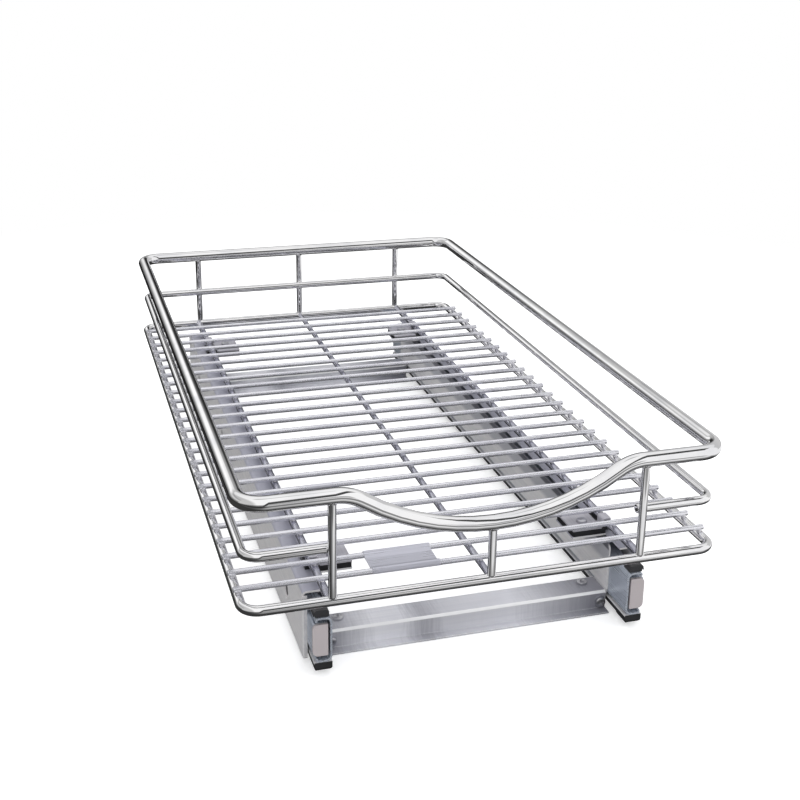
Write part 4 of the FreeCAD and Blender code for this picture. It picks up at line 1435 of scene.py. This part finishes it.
class DRAWER_OT_stage(bpy.types.Operator):
    """Set the pale floor, the soft lamps and the camera"""

    bl_idname = "drawer.stage"
    bl_label = "Stage"

    def execute(self, context):
        bpy.context.scene.view_settings.view_transform = "Standard"
        self.add_floor()
        self.add_world()
        for name, values in LAMPS.items():
            self.add_lamp(name, *values)
        self.add_camera()
        return {"FINISHED"}

    def add_floor(self):
        """Large floor that stays white to the camera and keeps the drawer's shadow."""
        bm = bmesh.new()
        bmesh.ops.create_circle(bm, cap_ends=True, radius=FLOOR_R, segments=FLOOR_SIDES)
        bmesh.ops.translate(bm, verts=bm.verts, vec=(0, 0, -FLOOR_DROP))
        material = bpy.data.materials.new("studio_floor")
        material.use_nodes = True
        tree = material.node_tree
        tree.nodes.clear()
        diffuse = add_node(tree, "ShaderNodeBsdfDiffuse")
        diffuse.inputs["Color"].default_value = tuple(colours().floor) + (1.0,)
        lift = add_node(tree, "ShaderNodeEmission")
        lift.inputs["Strength"].default_value = FLOOR_LIFT
        lit = add_node(tree, "ShaderNodeAddShader")
        tree.links.new(diffuse.outputs[0], lit.inputs[0])
        tree.links.new(lift.outputs[0], lit.inputs[1])
        white = add_node(tree, "ShaderNodeEmission")
        white.inputs["Strength"].default_value = 1.0
        place = object_place(tree)
        distance = add_node(tree, "ShaderNodeVectorMath", operation="LENGTH")
        tree.links.new(place, distance.inputs[0])
        far = map_range(tree, distance.outputs["Value"], *WHITE_FLOOR)
        mirrored = add_node(tree, "ShaderNodeEmission")
        tree.links.new(self.floor_in_metal(tree, place), mirrored.inputs["Strength"])
        rays = add_node(tree, "ShaderNodeLightPath").outputs
        direct = combine(tree, "MAXIMUM", rays["Is Camera Ray"], rays["Is Transmission Ray"])
        seen = mix_shaders(tree, far, lit, white)
        shown = mix_shaders(tree, direct, diffuse, seen)
        final = mix_shaders(tree, rays["Is Glossy Ray"], shown, mirrored)
        output = add_node(tree, "ShaderNodeOutputMaterial")
        tree.links.new(final.outputs[0], output.inputs["Surface"])
        floor = mesh_object("studio_floor", bm, material)

    def floor_in_metal(self, tree, place):
        """Brightness of the floor in polished metal: dark under and left of the drawer, pale right."""
        parts = split(tree, place)
        x = parts.outputs["X"]
        y = parts.outputs["Y"]
        front = cad_box[0][1]
        ahead = level_ramp(tree, map_range(tree, y, front, front - 1.0, 0.0, 1.0), FLOOR_AHEAD)
        across = level_ramp(tree, map_range(tree, x, -HALF_FLOOR, HALF_FLOOR, 0.0, 1.0), FLOOR_ACROSS)
        near = combine(tree, "MULTIPLY", ahead, across)
        right = map_range(tree, x, *FLOOR_RIGHT)
        behind = map_range(tree, y, *FLOOR_BEHIND)
        pale = combine(tree, "MULTIPLY", right, behind)
        return combine(tree, "MAXIMUM", near, pale)

    def add_world(self):
        """White behind the drawer; a studio with darker low walls in the polished metal."""
        world = bpy.data.worlds.new("studio")
        bpy.context.scene.world = world
        world.use_nodes = True
        tree = world.node_tree
        tree.nodes.clear()
        soft = self.background(tree, AMBIENT, AMBIENT_LEVEL)
        white = self.background(tree, WHITE, 1.0)
        gloss = self.background(tree, WHITE, 1.0)
        direction = add_node(tree, "ShaderNodeTexCoord").outputs["Generated"]
        level = self.studio_walls(tree, split(tree, direction))
        tree.links.new(level, gloss.inputs["Strength"])
        rays = add_node(tree, "ShaderNodeLightPath").outputs
        room = mix_shaders(tree, rays["Is Glossy Ray"], soft, gloss)
        final = mix_shaders(tree, rays["Is Camera Ray"], room, white)
        output = add_node(tree, "ShaderNodeOutputWorld")
        tree.links.new(final.outputs[0], output.inputs["Surface"])

    def background(self, tree, tint, strength):
        """Background of one colour and strength."""
        node = add_node(tree, "ShaderNodeBackground")
        node.inputs["Color"].default_value = tint + (1.0,)
        node.inputs["Strength"].default_value = strength
        return node

    def studio_walls(self, tree, parts):
        """Brightness of the room in polished metal: softboxes with dark gaps between them."""
        height = parts.outputs["Z"]
        across = parts.outputs["X"]
        side = map_range(tree, across, *BOX_SIDE)
        foot = map_range(tree, height, *BOX_FOOT)
        head = map_range(tree, height, *BOX_HEAD)
        box = combine(tree, "MULTIPLY", side, combine(tree, "MULTIPLY", foot, head))
        rear = combine(tree, "MAXIMUM", level_ramp(tree, height, REAR_WALL), box)
        rear = combine(tree, "MAXIMUM", rear, map_range(tree, across, *FAR_RIGHT))
        angle = self.front_angle(tree, parts)
        slant = scaled(tree, across, -GAP_SLANT, GAP_SLANT * GAP_PLACE)
        front = level_ramp(tree, combine(tree, "ADD", angle, slant), FRONT_WALL)
        low_part = map_range(tree, angle, *LOW_FRONT)
        left_part = map_range(tree, across, *LEFT_FRONT)
        dim = combine(tree, "MULTIPLY", low_part, left_part)
        front = combine(tree, "MULTIPLY", front, scaled(tree, dim, -1.0, 1.0))
        room = add_node(tree, "ShaderNodeMix", data_type="FLOAT")
        tree.links.new(map_range(tree, parts.outputs["Y"], *FRONT_SIDE), room.inputs["Factor"])
        tree.links.new(rear, room.inputs["A"])
        tree.links.new(front, room.inputs["B"])
        return combine(tree, "MULTIPLY", room.outputs["Result"], map_range(tree, across, *LEFT_SIDE))

    def front_angle(self, tree, parts):
        """Angle above the front horizon, as a share of a half turn."""
        ahead = scaled(tree, parts.outputs["Y"], -1.0)
        turn = combine(tree, "ARCTAN2", parts.outputs["Z"], ahead)
        return scaled(tree, turn, 1 / math.pi)

    def add_lamp(self, name, place, target, sides, radiance):
        """Soft rectangular lamp of a given brightness, aimed at a target."""
        data = bpy.data.lights.new(name, "AREA")
        data.shape = "RECTANGLE"
        data.size, data.size_y = sides
        data.energy = radiance * math.pi * sides[0] * sides[1]
        lamp = bpy.data.objects.new(name, data)
        bpy.context.scene.collection.objects.link(lamp)
        lamp.location = place
        lamp.visible_glossy = False
        aim = Vector(target) - Vector(place)
        lamp.rotation_euler = aim.to_track_quat("-Z", "Y").to_euler()

    def add_camera(self):
        """Camera at the photograph's viewing angle."""
        forward_x = math.sin(CAMERA_YAW) * math.cos(CAMERA_PITCH)
        forward_y = math.cos(CAMERA_YAW) * math.cos(CAMERA_PITCH)
        forward = Vector((forward_x, forward_y, -math.sin(CAMERA_PITCH)))
        level = Vector((math.cos(CAMERA_YAW), -math.sin(CAMERA_YAW), 0.0))
        upright = level.cross(forward)
        right = level * math.cos(CAMERA_ROLL) + upright * math.sin(CAMERA_ROLL)
        up = upright * math.cos(CAMERA_ROLL) - level * math.sin(CAMERA_ROLL)
        data = bpy.data.cameras.new("product_camera")
        data.lens = CAMERA_LENS
        data.sensor_width = CAMERA_SENSOR
        data.shift_y = CAMERA_SHIFT
        data.clip_start, data.clip_end = CAMERA_RANGE
        camera = bpy.data.objects.new("product_camera", data)
        bpy.context.scene.collection.objects.link(camera)
        turn = Matrix((right, up, -forward)).transposed()
        camera.matrix_world = Matrix.Translation(CAMERA_PLACE) @ turn.to_4x4()
        bpy.context.scene.camera = camera


STEPS = (
    DRAWER_OT_finishes,
    DRAWER_OT_rails,
    DRAWER_OT_posts,
    DRAWER_OT_floor_wires,
    DRAWER_OT_welds,
    DRAWER_OT_name_plate,
    DRAWER_OT_screws,
    DRAWER_OT_sheet_parts,
    DRAWER_OT_stage,
)


class DRAWER_PT_panel(bpy.types.Panel):
    """Lists the steps, sizes and colours of the drawer"""

    bl_label = "Roll-out drawer"
    bl_idname = "DRAWER_PT_panel"
    bl_space_type = "VIEW_3D"
    bl_region_type = "UI"
    bl_category = "Drawer"

    def draw(self, context):
        layout = self.layout
        for step in STEPS:
            layout.operator(step.bl_idname)
        for group in (sizes(), colours()):
            box = layout.box()
            for name in group.bl_rna.properties.keys():
                if name not in ("rna_type", "name"):
                    box.prop(group, name)


CLASSES = (DrawerSizes, DrawerColours) + STEPS + (DRAWER_PT_panel,)


def register():
    """Register the classes and the property groups."""
    for item in CLASSES:
        bpy.utils.register_class(item)
    bpy.types.Scene.drawer_sizes = bpy.props.PointerProperty(type=DrawerSizes)
    bpy.types.Scene.drawer_colours = bpy.props.PointerProperty(type=DrawerColours)


def unregister():
    """Remove what register added."""
    del bpy.types.Scene.drawer_colours
    del bpy.types.Scene.drawer_sizes
    for item in reversed(CLASSES):
        bpy.utils.unregister_class(item)


def main():
    register()
    bpy.ops.drawer.finishes()
    bpy.ops.drawer.rails()
    bpy.ops.drawer.posts()
    bpy.ops.drawer.floor_wires()
    bpy.ops.drawer.welds()
    bpy.ops.drawer.name_plate()
    bpy.ops.drawer.screws()
    bpy.ops.drawer.sheet_parts()
    bpy.ops.drawer.stage()


if __name__ == "__main__":
    main()
